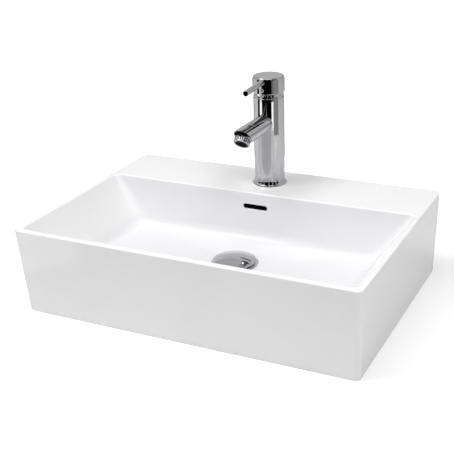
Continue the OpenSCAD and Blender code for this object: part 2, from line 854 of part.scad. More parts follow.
module cartridge_carrier() {
    slot_front = (pivot_z - carrier_z) * tan(lift_angle) + stem_t / 2 / cos(lift_angle) + run;
    slot_back = (carrier_top_z - pivot_z) * tan(lift_angle) + stem_t / 2 / cos(lift_angle) + run;
    color("peru") at_tap(0) difference() {
        translate([0, 0, carrier_z]) cylinder(r = carrier_r, h = carrier_top_z - carrier_z);
        translate([-stem_w / 2 - run, -slot_front, carrier_z - over])
            cube([stem_w + 2 * run, slot_front + slot_back, carrier_top_z - carrier_z + 2 * over]);
        translate([-carrier_r - over, 0, pivot_z]) rotate([0, 90, 0])
            cylinder(r = pin_d / 2, h = 2 * (carrier_r + over));
    }
}

module cartridge_pivot_pin() {
    color("gray") at_tap(pivot_z) translate([-carrier_r + 0.6, 0, 0]) rotate([0, 90, 0])
        cylinder(r = pin_d / 2, h = 2 * (carrier_r - 0.6));
}

module cartridge_stem() {
    neck_z = pivot_z - pin_d / 2 - 1.5;
    color("goldenrod") at_tap(0) difference() {
        union() {
            translate([-stem_w / 2, -stem_t / 2, neck_z]) cube([stem_w, stem_t, stem_top_z - neck_z]);
            translate([-stem_w / 2, -stem_neck_t / 2, stem_end_z])
                cube([stem_w, stem_neck_t, neck_z - stem_end_z + post]);
            translate([-stem_w / 2, 0, stem_end_z]) rotate([0, 90, 0])
                cylinder(r = stem_end_r, h = stem_w);
        }
        translate([-stem_w, 0, pivot_z]) rotate([0, 90, 0])
            cylinder(r = pin_d / 2 + fit, h = 2 * stem_w);
    }
}

// Handle

module along_lever() {
    translate([0, -handle_r, lever_z]) rotate([90 + lever_dip, 0, 0]) children();
}

module handle_cap() {
    socket_top = stem_top_z + socket_clear;
    color("silver") at_tap(0) difference() {
        rotate_extrude()
            polygon(concat(
                [[0, boss_bottom_z], [handle_boss_r, boss_bottom_z], [handle_boss_r, handle_ceiling_z],
                 [skirt_r, handle_ceiling_z], [skirt_r, handle_z], [handle_r - 0.4, handle_z],
                 [handle_r, handle_z + 0.4]],
                quarter(handle_r - handle_edge_r, handle_top - handle_edge_r, handle_edge_r, 0),
                [[0, handle_top]]));
        translate([-stem_w / 2 - socket_clear, -stem_t / 2 - socket_clear, boss_bottom_z - over])
            cube([stem_w + 2 * socket_clear, stem_t + 2 * socket_clear, socket_top - boss_bottom_z + over]);
        along_lever() translate([0, 0, -lever_root])
            cylinder(r = lever_d / 2 + fit, h = lever_root + lever_d);
        translate([0, -handle_r - over, dot_z]) rotate([-90, 0, 0])
            cylinder(r = dot_d / 2 + fit, h = handle_wall + over + 2);
        translate([0, -handle_r, dot_z]) rotate([-90, 0, 0]) cylinder(r = grub_r + fit, h = handle_r);
    }
}

module handle_lever() {
    lever_l = (lever_reach - handle_r) / cos(lever_dip);
    bevel = 0.8;
    color("silver") at_tap(0) along_lever() {
        translate([0, 0, -lever_root + fit])
            cylinder(r = lever_d / 2, h = lever_l + lever_root - bevel - fit);
        translate([0, 0, lever_l - bevel]) cylinder(r1 = lever_d / 2, r2 = lever_d / 2 - bevel, h = bevel);
    }
}

module handle_grub_screw() {
    screw_l = 6;
    tip_y = -stem_t / 2 - fit;
    color("dimgray") at_tap(dot_z) translate([0, tip_y, 0]) rotate([90, 0, 0]) difference() {
        cylinder(r = grub_r, h = screw_l);
        translate([0, 0, screw_l - grub_r]) cylinder(r = 1.4, h = 3, $fn = 6);
    }
}

module handle_indicator() {
    plug_l = handle_wall + 0.6;
    color("gray") at_tap(dot_z) translate([0, -handle_r + plug_l, 0]) rotate([90, 0, 0])
        cylinder(r = dot_d / 2, h = plug_l - 0.1);
}

// Fixing

module horseshoe(h) {
    gap_w = inlet_pitch + hose_d;
    gap_y = stud_y + stud_d / 2 + 3;
    difference() {
        cylinder(r = washer_d / 2, h = h);
        translate([-gap_w / 2, gap_y, -over]) cube([gap_w, washer_d, h + 2 * over]);
        translate([0, stud_y, -over]) cylinder(r = stud_d / 2 + loose, h = h + 2 * over);
    }
}

module fixing_stud() {
    color("silver") at_tap(0) translate([0, stud_y, -ledge_t - stud_l])
        cylinder(r = stud_d / 2, h = ledge_t + stud_l + stud_depth - 0.5);
}

module fixing_rubber_washer() {
    color("black") at_tap(-ledge_t - rubber_t) horseshoe(rubber_t);
}

module fixing_steel_washer() {
    color("silver") at_tap(-ledge_t - rubber_t - steel_t) horseshoe(steel_t);
}

module fixing_nut() {
    color("goldenrod") at_tap(-ledge_t - rubber_t - steel_t - stud_nut_h) translate([0, stud_y, 0])
        hex_nut(stud_nut_af, stud_d / 2 + fit, stud_nut_h);
}

basin();
waste_body();
waste_upper_seal();
waste_lower_seal();
waste_slip_washer();
waste_back_nut();
waste_cap();
waste_cap_seal();
waste_plunger();
waste_latch_cam();
waste_latch_spring();
waste_latch_housing();
tap_body();
tap_base_seal();
tap_trim_ring();
tap_retaining_nut();
aerator_collar();
aerator_insert();
aerator_screen();
aerator_washer();
cartridge_housing();
cartridge_base();
cartridge_seals();
cartridge_fixed_disc();
cartridge_moving_disc();
cartridge_slider();
cartridge_carrier();
cartridge_pivot_pin();
cartridge_stem();
handle_cap();
handle_lever();
handle_grub_screw();
handle_indicator();
fixing_stud();
fixing_rubber_washer();
fixing_steel_washer();
fixing_nut();
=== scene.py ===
"""A white ceramic washbasin with a chrome single lever mixer tap and a push waste.

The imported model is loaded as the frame. Each sub-assembly is a class that builds its own
meshes round that frame and dresses the nodes that stay. All sizes are in millimetres in
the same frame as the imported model, and become metres when a piece is made.
"""

import json
import logging
import math
from dataclasses import dataclass, field, replace
from enum import Enum, IntEnum
from typing import Callable, Iterable, Optional, Sequence

import bmesh
import bpy
from mathutils import Matrix, Vector


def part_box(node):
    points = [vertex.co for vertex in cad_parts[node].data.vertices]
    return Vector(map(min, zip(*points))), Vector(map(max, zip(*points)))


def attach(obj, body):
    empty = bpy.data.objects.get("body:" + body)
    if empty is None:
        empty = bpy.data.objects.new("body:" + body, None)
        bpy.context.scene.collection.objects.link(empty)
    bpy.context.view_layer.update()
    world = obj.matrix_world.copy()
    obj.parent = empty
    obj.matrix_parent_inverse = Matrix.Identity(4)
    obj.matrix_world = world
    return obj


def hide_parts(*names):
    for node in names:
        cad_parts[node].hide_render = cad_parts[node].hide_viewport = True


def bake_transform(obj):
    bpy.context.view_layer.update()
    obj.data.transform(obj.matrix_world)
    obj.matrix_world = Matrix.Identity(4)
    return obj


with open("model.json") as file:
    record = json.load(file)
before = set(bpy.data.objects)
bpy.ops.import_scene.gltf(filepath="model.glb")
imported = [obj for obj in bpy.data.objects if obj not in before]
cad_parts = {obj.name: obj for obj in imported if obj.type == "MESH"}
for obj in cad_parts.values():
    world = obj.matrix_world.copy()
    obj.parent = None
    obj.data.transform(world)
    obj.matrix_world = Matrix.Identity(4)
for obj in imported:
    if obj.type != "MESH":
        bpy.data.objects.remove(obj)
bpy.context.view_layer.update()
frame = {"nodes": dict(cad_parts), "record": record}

MM = 0.001
LOG = logging.getLogger("washbasin")

Pair = tuple[float, float]
Profile = Sequence[Pair]
Relief = Callable[[float, float, float], float]
Tree = bpy.types.NodeTree
Socket = bpy.types.NodeSocket


# Colours and nodes


def linear(code: str) -> tuple[float, float, float, float]:
    """Turns an sRGB colour, "#RRGGBB", into linear red, green, blue and an alpha of 1."""
    parts = [int(code[i:i + 2], 16) / 255 for i in (1, 3, 5)]
    return (*(v / 12.92 if v <= 0.04045 else ((v + 0.055) / 1.055) ** 2.4 for v in parts), 1.0)


def add_node(tree: Tree, kind: str, inputs: Optional[dict] = None,
             **settings: object) -> bpy.types.Node:
    """Adds one shader node with its settings, values and links.

    Args:
        tree: The node tree that gets the node.
        kind: The node's type name.
        inputs: Values or output sockets, by input name or number.
        settings: Attributes to set on the node.

    Returns:
        The new node.
    """
    made = tree.nodes.new(kind)
    for name, value in settings.items():
        setattr(made, name, value)
    for key, value in (inputs or {}).items():
        if isinstance(value, Socket):
            tree.links.new(value, made.inputs[key])
        else:
            made.inputs[key].default_value = value
    return made


def ranged(tree: Tree, value: Socket, start: Pair = (0.0, 1.0), end: tuple = (0.0, 1.0),
           **settings: object) -> Socket:
    """Carries a value from one range to another, of numbers or sockets."""
    return add_node(tree, "ShaderNodeMapRange", {
        "Value": value, "From Min": start[0], "From Max": start[1],
        "To Min": end[0], "To Max": end[1]}, **settings).outputs["Result"]


def mixed(tree: Tree, share: Socket, first: object, second: object) -> Socket:
    """Mixes two colours, given as values or sockets."""
    return add_node(tree, "ShaderNodeMix", {0: share, 6: first, 7: second},
                    data_type="RGBA").outputs[2]


def combined(tree: Tree, operation: str, first: Socket, second: Socket) -> Socket:
    """Combines two values by an operation such as MULTIPLY or MAXIMUM."""
    return add_node(tree, "ShaderNodeMath", {0: first, 1: second},
                    operation=operation).outputs[0]


def axis_of(tree: Tree, vector: Socket, axis: str) -> Socket:
    """Returns the socket of one axis of a vector."""
    return add_node(tree, "ShaderNodeSeparateXYZ", {0: vector}).outputs[axis]


def place_in(tree: Tree) -> Socket:
    """Returns the socket of the object's own coordinates, in metres."""
    return add_node(tree, "ShaderNodeTexCoord").outputs["Object"]


def blank_material(name: str) -> bpy.types.Material:
    """Returns a new material whose node tree is empty."""
    made = bpy.data.materials.new(name)
    made.use_nodes = True
    made.node_tree.nodes.clear()
    return made


class Grain(Enum):
    """How a surface's fine marks run."""

    EVEN = "even"
    TURNED = "turned"
    DRAWN = "drawn"


@dataclass(frozen=True)
class Finish:
    """One real material and the way its surface was made.

    Fine marks and the wider waves under them are given by their size and depth.
    """

    name: str
    colour: str
    shade: str
    roughness: Pair
    metallic: float = 0.0
    ior: Optional[float] = None
    grain: Grain = Grain.EVEN
    marks_mm: Pair = (0.6, 0.004)
    waves_mm: Optional[Pair] = None
    blotch_mm: float = 25.0
    haze_share: float = 0.37
    haze_span: Pair = (0.3, 0.7)
    line_stretch: float = 14.0
    line_share: float = 8.0
    coat: float = 0.0
    coat_roughness: float = 0.03
    painted_shade: str = ""
    painted_shade_mm: Pair = (0.0, 0.0)
    painted_shade_facing: Pair = (0.2, 0.9)

    def material(self) -> bpy.types.Material:
        """Makes the material once and returns it again on later calls.

        Returns:
            The material of this finish.
        """
        found = bpy.data.materials.get(self.name)
        if found:
            return found
        made = blank_material(self.name)
        tree = made.node_tree
        place = place_in(tree)
        tone = mixed(tree, self._noise(tree, place, self.blotch_mm, 3.0),
                     linear(self.colour), linear(self.shade))
        # Painted shade: low faces that look up are mixed towards a greyer colour
        if self.painted_shade:
            tone = mixed(tree, self._painted_shade(tree, place), tone, linear(self.painted_shade))
        haze = self._noise(tree, place, self.blotch_mm * self.haze_share, 5.0)
        shader = add_node(tree, "ShaderNodeBsdfPrincipled", {
            "Base Color": tone, "Metallic": self.metallic,
            "Roughness": ranged(tree, haze, self.haze_span, self.roughness),
            "Normal": self._relief(tree, place),
            "Coat Weight": self.coat, "Coat Roughness": self.coat_roughness})
        if self.ior is not None:
            shader.inputs["IOR"].default_value = self.ior
        add_node(tree, "ShaderNodeOutputMaterial", {"Surface": shader.outputs["BSDF"]})
        return made

    def _painted_shade(self, tree: Tree, place: Socket) -> Socket:
        """Adds the share of painted shade: all of it where a low surface faces up.

        Args:
            tree: The material's node tree.
            place: The coordinate socket.

        Returns:
            The share's socket.
        """
        deep, shallow = self.painted_shade_mm
        low = ranged(tree, axis_of(tree, place, "Z"), (shallow * MM, deep * MM),
                     interpolation_type="SMOOTHSTEP")
        normal = add_node(tree, "ShaderNodeNewGeometry").outputs["Normal"]
        up = ranged(tree, axis_of(tree, normal, "Z"), self.painted_shade_facing,
                    interpolation_type="SMOOTHSTEP")
        return combined(tree, "MULTIPLY", low, up)

    def _noise(self, tree: Tree, place: Socket, size_mm: float, detail: float) -> Socket:
        """Adds a noise whose blobs have a size, with so many octaves of detail."""
        return add_node(tree, "ShaderNodeTexNoise", {
            "Vector": place, "Scale": 1 / (size_mm * MM), "Detail": detail}).outputs[0]

    def _relief(self, tree: Tree, place: Socket) -> Socket:
        """Adds the fine marks, and under them the wider waves where there are any.

        Args:
            tree: The material's node tree.
            place: The coordinate socket.

        Returns:
            The normal socket for the shader.
        """
        size, depth = self.marks_mm
        if self.grain is Grain.EVEN:
            marks = self._noise(tree, place, size, 2.0)
        else:
            far = self.line_stretch
            scale = (1.0, 1.0, far) if self.grain is Grain.TURNED else (far, far, 1.0)
            along = add_node(tree, "ShaderNodeMapping", {"Vector": place, "Scale": scale})
            marks = self._noise(tree, along.outputs["Vector"], size * self.line_share, 2.0)
        fine = add_node(tree, "ShaderNodeBump", {
            "Height": marks, "Distance": depth * MM, "Strength": 1.0})
        if self.waves_mm:
            wide = add_node(tree, "ShaderNodeBump", {
                "Height": self._noise(tree, place, self.waves_mm[0], 1.0),
                "Distance": self.waves_mm[1] * MM, "Strength": 1.0})
            tree.links.new(wide.outputs["Normal"], fine.inputs["Normal"])
        return fine.outputs["Normal"]


# Vitreous china under a sprayed and fired tin-white glaze: a hard gloss, almost flat, with
# a faint orange peel about 9 mm wide. On the bowl's floor it is painted greyer, as shade.
GLAZE = Finish("glazed_vitreous_china", "#F3F3F4", "#EEEEEF", (0.05, 0.09), ior=1.52,
               marks_mm=(0.8, 0.0012), waves_mm=(9.0, 0.012), blotch_mm=60.0, coat=0.2,
               painted_shade="#DDDDDF", painted_shade_mm=(52.0, 78.0))
# The same china where the glaze was only misted on, inside and underneath: dull and sandy.
MISTED = Finish("misted_vitreous_china", "#ECEAE5", "#E2DFD8", (0.32, 0.5), ior=1.5,
                marks_mm=(1.4, 0.03), waves_mm=(14.0, 0.05))
# Bare fired clay on the ground foot and in the holes: chalky, with the marks of the belt.
BISQUE = Finish("ground_bisque_clay", "#DDD6C9", "#CFC6B6", (0.75, 0.9), ior=1.5,
                marks_mm=(0.5, 0.03))
# The same clay deep in the overflow, where no glaze and hardly any light comes, painted near
# black as shade.
CHANNEL_PAINTED_SHADE = Finish("overflow_painted_shade", "#0C0C0C", "#060606", (0.8, 0.95), ior=1.5,
                 marks_mm=(0.8, 0.03))
# Bright nickel and chromium plate over buffed cast brass: a cool, nearly perfect mirror
# whose waves are the buffing's, about 20 mm long.
CHROME = Finish("bright_chrome_plate", "#C6C6C8", "#C2C2C4", (0.008, 0.02), metallic=1.0,
                marks_mm=(0.5, 0.0001), waves_mm=(20.0, 0.004))
# The bored end of the spout behind the aerator, where the plating hardly took: dull, and
# painted near black as shade. The same painted shade lies between the collar's ribs and under
# the waste cap's edge.
DULL_PLATE_PAINTED_SHADE = Finish("dull_plate_painted_shade", "#1E1E1F", "#161617", (0.4, 0.55), metallic=1.0,
              grain=Grain.TURNED, marks_mm=(0.2, 0.004))
# Free-cutting brass left as it came off the lathe: warm, with fine turning marks.
BRASS = Finish("turned_brass", "#C9A55C", "#B8914A", (0.2, 0.32), metallic=1.0,
               grain=Grain.TURNED, marks_mm=(0.15, 0.004))
# Mild steel with a bright zinc passivate: grey with a faint bluish bloom.
ZINC = Finish("zinc_plated_steel", "#AEB2B6", "#9A9FA6", (0.24, 0.4), metallic=1.0,
              marks_mm=(0.5, 0.003), blotch_mm=12.0)
# Stainless spring wire and mesh, drawn through a die: bright, with lines along the wire.
STAINLESS = Finish("drawn_stainless_wire", "#B5B4B1", "#A3A29F", (0.16, 0.26), metallic=1.0,
                   grain=Grain.DRAWN, marks_mm=(0.1, 0.002))
# Nitrile rubber from a polished mould: black, dull, with a dusty bloom.
NITRILE = Finish("moulded_nitrile_rubber", "#1B1B1C", "#262627", (0.5, 0.68), ior=1.52,
                 marks_mm=(0.4, 0.01), blotch_mm=9.0)
# Grey EPDM rubber gasket, die cut from sheet.
GASKET = Finish("cut_epdm_rubber", "#565759", "#4A4B4D", (0.55, 0.72), ior=1.52,
                marks_mm=(0.4, 0.015), blotch_mm=9.0)
# Red silicone rubber, moulded, slightly oily from its grease.
SILICONE = Finish("moulded_red_silicone", "#A22F26", "#8E2720", (0.3, 0.45), ior=1.41,
                  marks_mm=(0.4, 0.006), blotch_mm=8.0)
# Low density polyethylene, stamped from sheet: milky and waxy.
POLYTHENE = Finish("stamped_polythene", "#EEEDE8", "#E3E2DB", (0.35, 0.5), ior=1.51,
                   marks_mm=(0.8, 0.01))
# Acetal mouldings: dense and slightly waxy, with the fine spark texture of the mould.
ACETAL_IVORY = Finish("moulded_ivory_acetal", "#E9E5D6", "#DED9C7", (0.3, 0.42), ior=1.48,
                      marks_mm=(0.3, 0.006), blotch_mm=14.0)
ACETAL_TAN = replace(ACETAL_IVORY, name="moulded_tan_acetal", colour="#C5A67B",
                     shade="#B6966B")
# The grey acetal is near black: its own dark grey, with painted shade for the aerator's mouth
ACETAL_GREY_AND_SHADE = replace(ACETAL_IVORY, name="moulded_grey_acetal_and_painted_shade", colour="#17181A",
                      shade="#101112", roughness=(0.32, 0.45))
# Alumina discs, lapped flat until they wring together: white with a silky sheen.
ALUMINA = Finish("lapped_alumina", "#EDECE8", "#E4E3DE", (0.14, 0.22), ior=1.76,
                 marks_mm=(0.2, 0.001), blotch_mm=10.0)
# The plug over the grub screw: glossy dark ABS from a polished mould.
PLUG_ABS = Finish("moulded_dark_abs", "#3A3A3D", "#333336", (0.12, 0.2), ior=1.54,
                  marks_mm=(0.4, 0.002), blotch_mm=5.0)
# The ring in the plug's face: the same ABS in light grey.
RING_ABS = replace(PLUG_ABS, name="moulded_light_abs", colour="#D9D9DB", shade="#CFCFD2",
                   roughness=(0.15, 0.25))

FINISH_OF_SLOT = {
    "glaze": GLAZE, "chrome": CHROME, "brass": BRASS, "steel": ZINC, "stainless": STAINLESS,
    "rubber_black": NITRILE, "rubber_grey": GASKET, "seal_red": SILICONE,
    "poly_white": POLYTHENE, "acetal": ACETAL_IVORY, "acetal_tan": ACETAL_TAN,
    "acetal_grey": ACETAL_GREY_AND_SHADE, "alumina": ALUMINA, "indicator": PLUG_ABS,
}


# Meshes


@dataclass
class Shell:
    """The points of one closed surface in millimetres, and its faces with their finish."""

    points: list[Vector] = field(default_factory=list)
    faces: list[tuple[int, ...]] = field(default_factory=list)
    finish: list[int] = field(default_factory=list)

    def moved(self, matrix: Matrix) -> "Shell":
        """Returns this shell moved by a matrix whose lengths are millimetres."""
        return Shell([matrix @ p for p in self.points], list(self.faces), list(self.finish))

    def tag(self, number: int, inside: Callable[[float, float], bool]) -> None:
        """Gives a finish to the faces that lie inside a part of the profile.

        Args:
            number: The material number.
            inside: Tells whether a radius and height lie inside.
        """
        for k, corners in enumerate(self.faces):
            if all(inside(self.points[i].xy.length, self.points[i].z) for i in corners):
                self.finish[k] = number


def circle(radius: float, steps: int) -> list[Pair]:
    """Returns the points of a flat circle about the origin, as cosine and sine sides."""
    return [(radius * math.cos(a), radius * math.sin(a))
            for a in (2 * math.pi * i / steps for i in range(steps))]


def arc(x: float, y: float, radius: float, start: float, span: float,
        steps: int) -> list[Pair]:
    """Returns the points of a flat arc about x and y. Its angles are degrees."""
    return [(x + radius * math.cos(a), y + radius * math.sin(a))
            for a in (math.radians(start + span * s / steps) for s in range(steps + 1))]


def loft(rings: Sequence[Sequence[Vector]], loop: bool = False,
         finish: Optional[Sequence[int]] = None) -> Shell:
    """Joins closed rings of equal length into one surface.

    Args:
        rings: The rings in order. A ring of one point is a pole.
        loop: Whether the last ring joins the first again.
        finish: The material number of each band between two rings.

    Returns:
        The surface. Without loop its first and last rings are closed by a face.
    """
    made = Shell()
    starts = []
    for ring in rings:
        starts.append(len(made.points))
        made.points.extend(ring)
    count = max(len(r) for r in rings)
    for k in range(len(rings) if loop else len(rings) - 1):
        n = (k + 1) % len(rings)
        a, b = starts[k], starts[n]
        tag = finish[k] if finish else 0
        for i in range(count):
            j = (i + 1) % count
            low = (a,) if len(rings[k]) == 1 else (a + i, a + j)
            high = (b,) if len(rings[n]) == 1 else (b + j, b + i)
            made.faces.append(low + high)
            made.finish.append(tag)
    if not loop:
        for k, flip in ((0, True), (len(rings) - 1, False)):
            if len(rings[k]) > 1:
                face = tuple(starts[k] + i for i in range(count))
                made.faces.append(face[::-1] if flip else face)
                made.finish.append(finish[min(k, len(finish) - 1)] if finish else 0)
    return made


def revolve(profile: Profile, steps: int = 96, relief: Optional[Relief] = None,
            loop: bool = True) -> Shell:
    """Turns a profile about the Z axis.

    Args:
        profile: Radius and height of each point, from the bottom of the axis outwards.
        steps: Points round the axis.
        relief: Length added to the radius at a radius, height and angle.
        loop: Whether the profile closes on itself, as a ring's does.

    Returns:
        The turned surface.
    """
    rings = []
    for r, z in profile:
        if r == 0:
            rings.append([Vector((0, 0, z))])
            continue
        ring = []
        for i in range(steps):
            a = 2 * math.pi * i / steps
            grown = r + (relief(r, z, a) if relief else 0)
            ring.append(Vector((grown * math.cos(a), grown * math.sin(a), z)))
        rings.append(ring)
    return loft(rings, loop=loop)


def soften(path: Sequence[Vector], radii: Sequence[float], steps: Sequence[int],
           closed: bool) -> list[Vector]:
    """Rounds the corners of a path in space.

    Args:
        path: The path's corners.
        radii: Radius at each corner, 0 to leave it sharp.
        steps: Segments of each corner's arc.
        closed: Whether the last corner joins the first.

    Returns:
        The rounded path's points, as many for every path with the same steps.
    """
    out: list[Vector] = []
    total = len(path)
    for k, point in enumerate(path):
        if radii[k] <= 0 or (not closed and k in (0, total - 1)):
            out.append(point.copy())
            continue
        before, after = path[k - 1], path[(k + 1) % total]
        a, b = (point - before), (after - point)
        reach = min(a.length, b.length) * 0.49
        a.normalize()
        b.normalize()
        turn = math.acos(max(-1.0, min(1.0, a.dot(b))))
        if turn < 1e-4:
            out.extend([point.copy()] * (steps[k] + 1))
            continue
        cut = min(radii[k] * math.tan(turn / 2), reach)
        radius = cut / math.tan(turn / 2)
        side = (b - a * math.cos(turn)) / math.sin(turn)
        start = point - a * cut
        for s in range(steps[k] + 1):
            angle = turn * s / steps[k]
            out.append(start + (a * math.sin(angle) + side * (1 - math.cos(angle))) * radius)
    return out


def rounded_profile(points: Profile, radii: Sequence[float], steps: int = 5,
                    closed: bool = True) -> list[Pair]:
    """Rounds the corners of a flat profile of radii and heights, as soften does."""
    path = [Vector((r, z, 0)) for r, z in points]
    return [(p.x, p.y) for p in soften(path, radii, [steps] * len(path), closed)]


def mesh_of(shell: Shell, name: str, finishes: Sequence[Finish],
            sharp_degrees: float = 35.0) -> bpy.types.Object:
    """Makes a Blender object of a shell, in metres.

    Args:
        shell: The surface, in millimetres.
        name: The object's name.
        finishes: The materials that the faces' numbers stand for.
        sharp_degrees: Edges that turn more than this stay sharp.

    Returns:
        The new object, linked to the scene.
    """
    mesh = bpy.data.meshes.new(name)
    mesh.from_pydata([p * MM for p in shell.points], [], shell.faces)
    for finish in finishes:
        mesh.materials.append(finish.material())
    for face, number in zip(mesh.polygons, shell.finish):
        face.material_index = number
    work = bmesh.new()
    work.from_mesh(mesh)
    bmesh.ops.remove_doubles(work, verts=work.verts, dist=1e-7)
    bmesh.ops.recalc_face_normals(work, faces=work.faces)
    work.to_mesh(mesh)
    work.free()
    made = bpy.data.objects.new(name, mesh)
    bpy.context.scene.collection.objects.link(made)
    smooth(made, sharp_degrees)
    return made


def smooth(piece: bpy.types.Object, sharp_degrees: float) -> None:
    """Shades a piece smooth, apart from edges that turn more than an angle."""
    piece.data.shade_smooth()
    piece.data.set_sharp_from_angle(angle=math.radians(sharp_degrees))


class Cut(Enum):
    """What a tool solid does to a piece."""

    AWAY = "DIFFERENCE"
    ONTO = "UNION"


def carve(piece: bpy.types.Object, *tools: Shell, cut: Cut = Cut.AWAY,
          sharp_degrees: float = 35.0) -> None:
    """Cuts tool solids out of a piece, or joins them on, one after another.

    Args:
        piece: The piece that changes.
        tools: The tool solids, in millimetres.
        cut: What the tools do.
        sharp_degrees: Edges that turn more than this stay sharp.
    """
    for tool in tools:
        other = mesh_of(tool, "tool", [])
        for material in piece.data.materials:
            other.data.materials.append(material)
        for face, number in zip(other.data.polygons, tool.finish):
            face.material_index = number
        step = piece.modifiers.new("cut", "BOOLEAN")
        step.object = other
        step.operation = cut.value
        step.solver = "EXACT"
        graph = bpy.context.evaluated_depsgraph_get()
        result = bpy.data.meshes.new_from_object(piece.evaluated_get(graph))
        old = piece.data
        piece.modifiers.remove(step)
        piece.data = result
        result.name = piece.name
        spent = (other.data, old)
        bpy.data.objects.remove(other)
        for mesh in spent:
            bpy.data.meshes.remove(mesh)
        smooth(piece, sharp_degrees)


def weigh_normals(piece: bpy.types.Object) -> None:
    """Lets the large faces of a piece rule its shading, so flats look flat."""
    step = piece.modifiers.new("weighted", "WEIGHTED_NORMAL")
    step.mode = "FACE_AREA"
    step.keep_sharp = True


def drum(radius: float, low: float, high: float, steps: int = 64, finish: int = 0) -> Shell:
    """Makes an upright tool cylinder about the Z axis, whose faces have one finish."""
    made = revolve([(0, low), (radius, low), (radius, high), (0, high)], steps, loop=False)
    return Shell(made.points, made.faces, [finish] * len(made.faces))


def block(low: Sequence[float], high: Sequence[float]) -> Shell:
    """Makes a tool block between its lowest and its highest corner."""
    corners = ((low[0], low[1]), (high[0], low[1]), (high[0], high[1]), (low[0], high[1]))
    return loft([[Vector((x, y, z)) for x, y in corners] for z in (low[2], high[2])])


def thread_at(z: float, angle: float, pitch: float, ends: Pair, run_out: float) -> Pair:
    """Returns how full a helical thread is at a height, and how far out its flank is.

    Args:
        z: The height.
        angle: The angle about the axis in radians.
        pitch: The thread's pitch.
        ends: The heights where the thread starts and ends.
        run_out: The length over which it fades at each end.

    Returns:
        The fullness and the flank, both between 0 and 1.
    """
    fade = max(0.0, min(1.0, (z - ends[0]) / run_out, (ends[1] - z) / run_out))
    return fade, abs(2 * ((z / pitch - angle / (2 * math.pi)) % 1.0) - 1)


def shifted(x: float, y: float, z: float) -> Matrix:
    """Returns the matrix of a shift in millimetres."""
    return Matrix.Translation((x, y, z))


def turned(degrees: float, axis: str) -> Matrix:
    """Returns the matrix of a turn about one axis."""
    return Matrix.Rotation(math.radians(degrees), 4, axis)


def settle(piece: bpy.types.Object, body: str, slot: str, *nodes: str) -> None:
    """Lets a piece ride on its body and stand for its nodes, and reports it.

    Args:
        piece: The piece.
        body: The body that it rides on.
        slot: The record's material slot; not used.
        nodes: The nodes that it stands for.
    """
    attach(piece, body)
    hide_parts(*nodes)
    LOG.info("%s: %d faces on %s", piece.name, len(piece.data.polygons), body)


def dress_nodes(names: Iterable[str]) -> None:
    """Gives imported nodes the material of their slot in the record.

    Args:
        names: The nodes that stay as they are.
    """
    slots = {row["node"]: row["material_slot"] for row in frame["record"]["subparts"]}
    for name in names:
        node = frame["nodes"][name]
        node.data.materials.clear()
        node.data.materials.append(FINISH_OF_SLOT[slots[name]].material())
        LOG.info("%s: packed solid in %s", name, slots[name])


# Basin


class Glazing(IntEnum):
    """How a face of the basin was glazed, as the number of its material."""

    GLOSS = 0
    MISTED = 1
    BARE = 2
    # The overflow's hollow, painted near black as shade
    CHANNEL_PAINTED_SHADE = 3


@dataclass(frozen=True)
class Station:
    """One closed line round the basin: a rounded rectangle, or a circle round the drain.

    Its finish is that of the band from its own rounding to the next line.
    """

    half_w: float
    front: float
    back: float
    z: float
    front_r: float
    back_r: float
    soften_r: float
    steps: int = 4
    spread: int = 0
    finish: Glazing = Glazing.GLOSS
    circle_r: float = 0.0

    def size(self) -> int:
        """Returns how many points the rounding of this line takes."""
        return self.steps + 1 if self.soften_r > 0 else 1


def drain_line(radius: float, z: float, soften_r: float, steps: int,
               finish: Glazing = Glazing.GLOSS, spread: int = 0) -> Station:
    """Returns a station that is a circle round the drain."""
    return Station(0.0, 0.0, 0.0, z, 0, 0, soften_r, steps, spread, finish, radius)


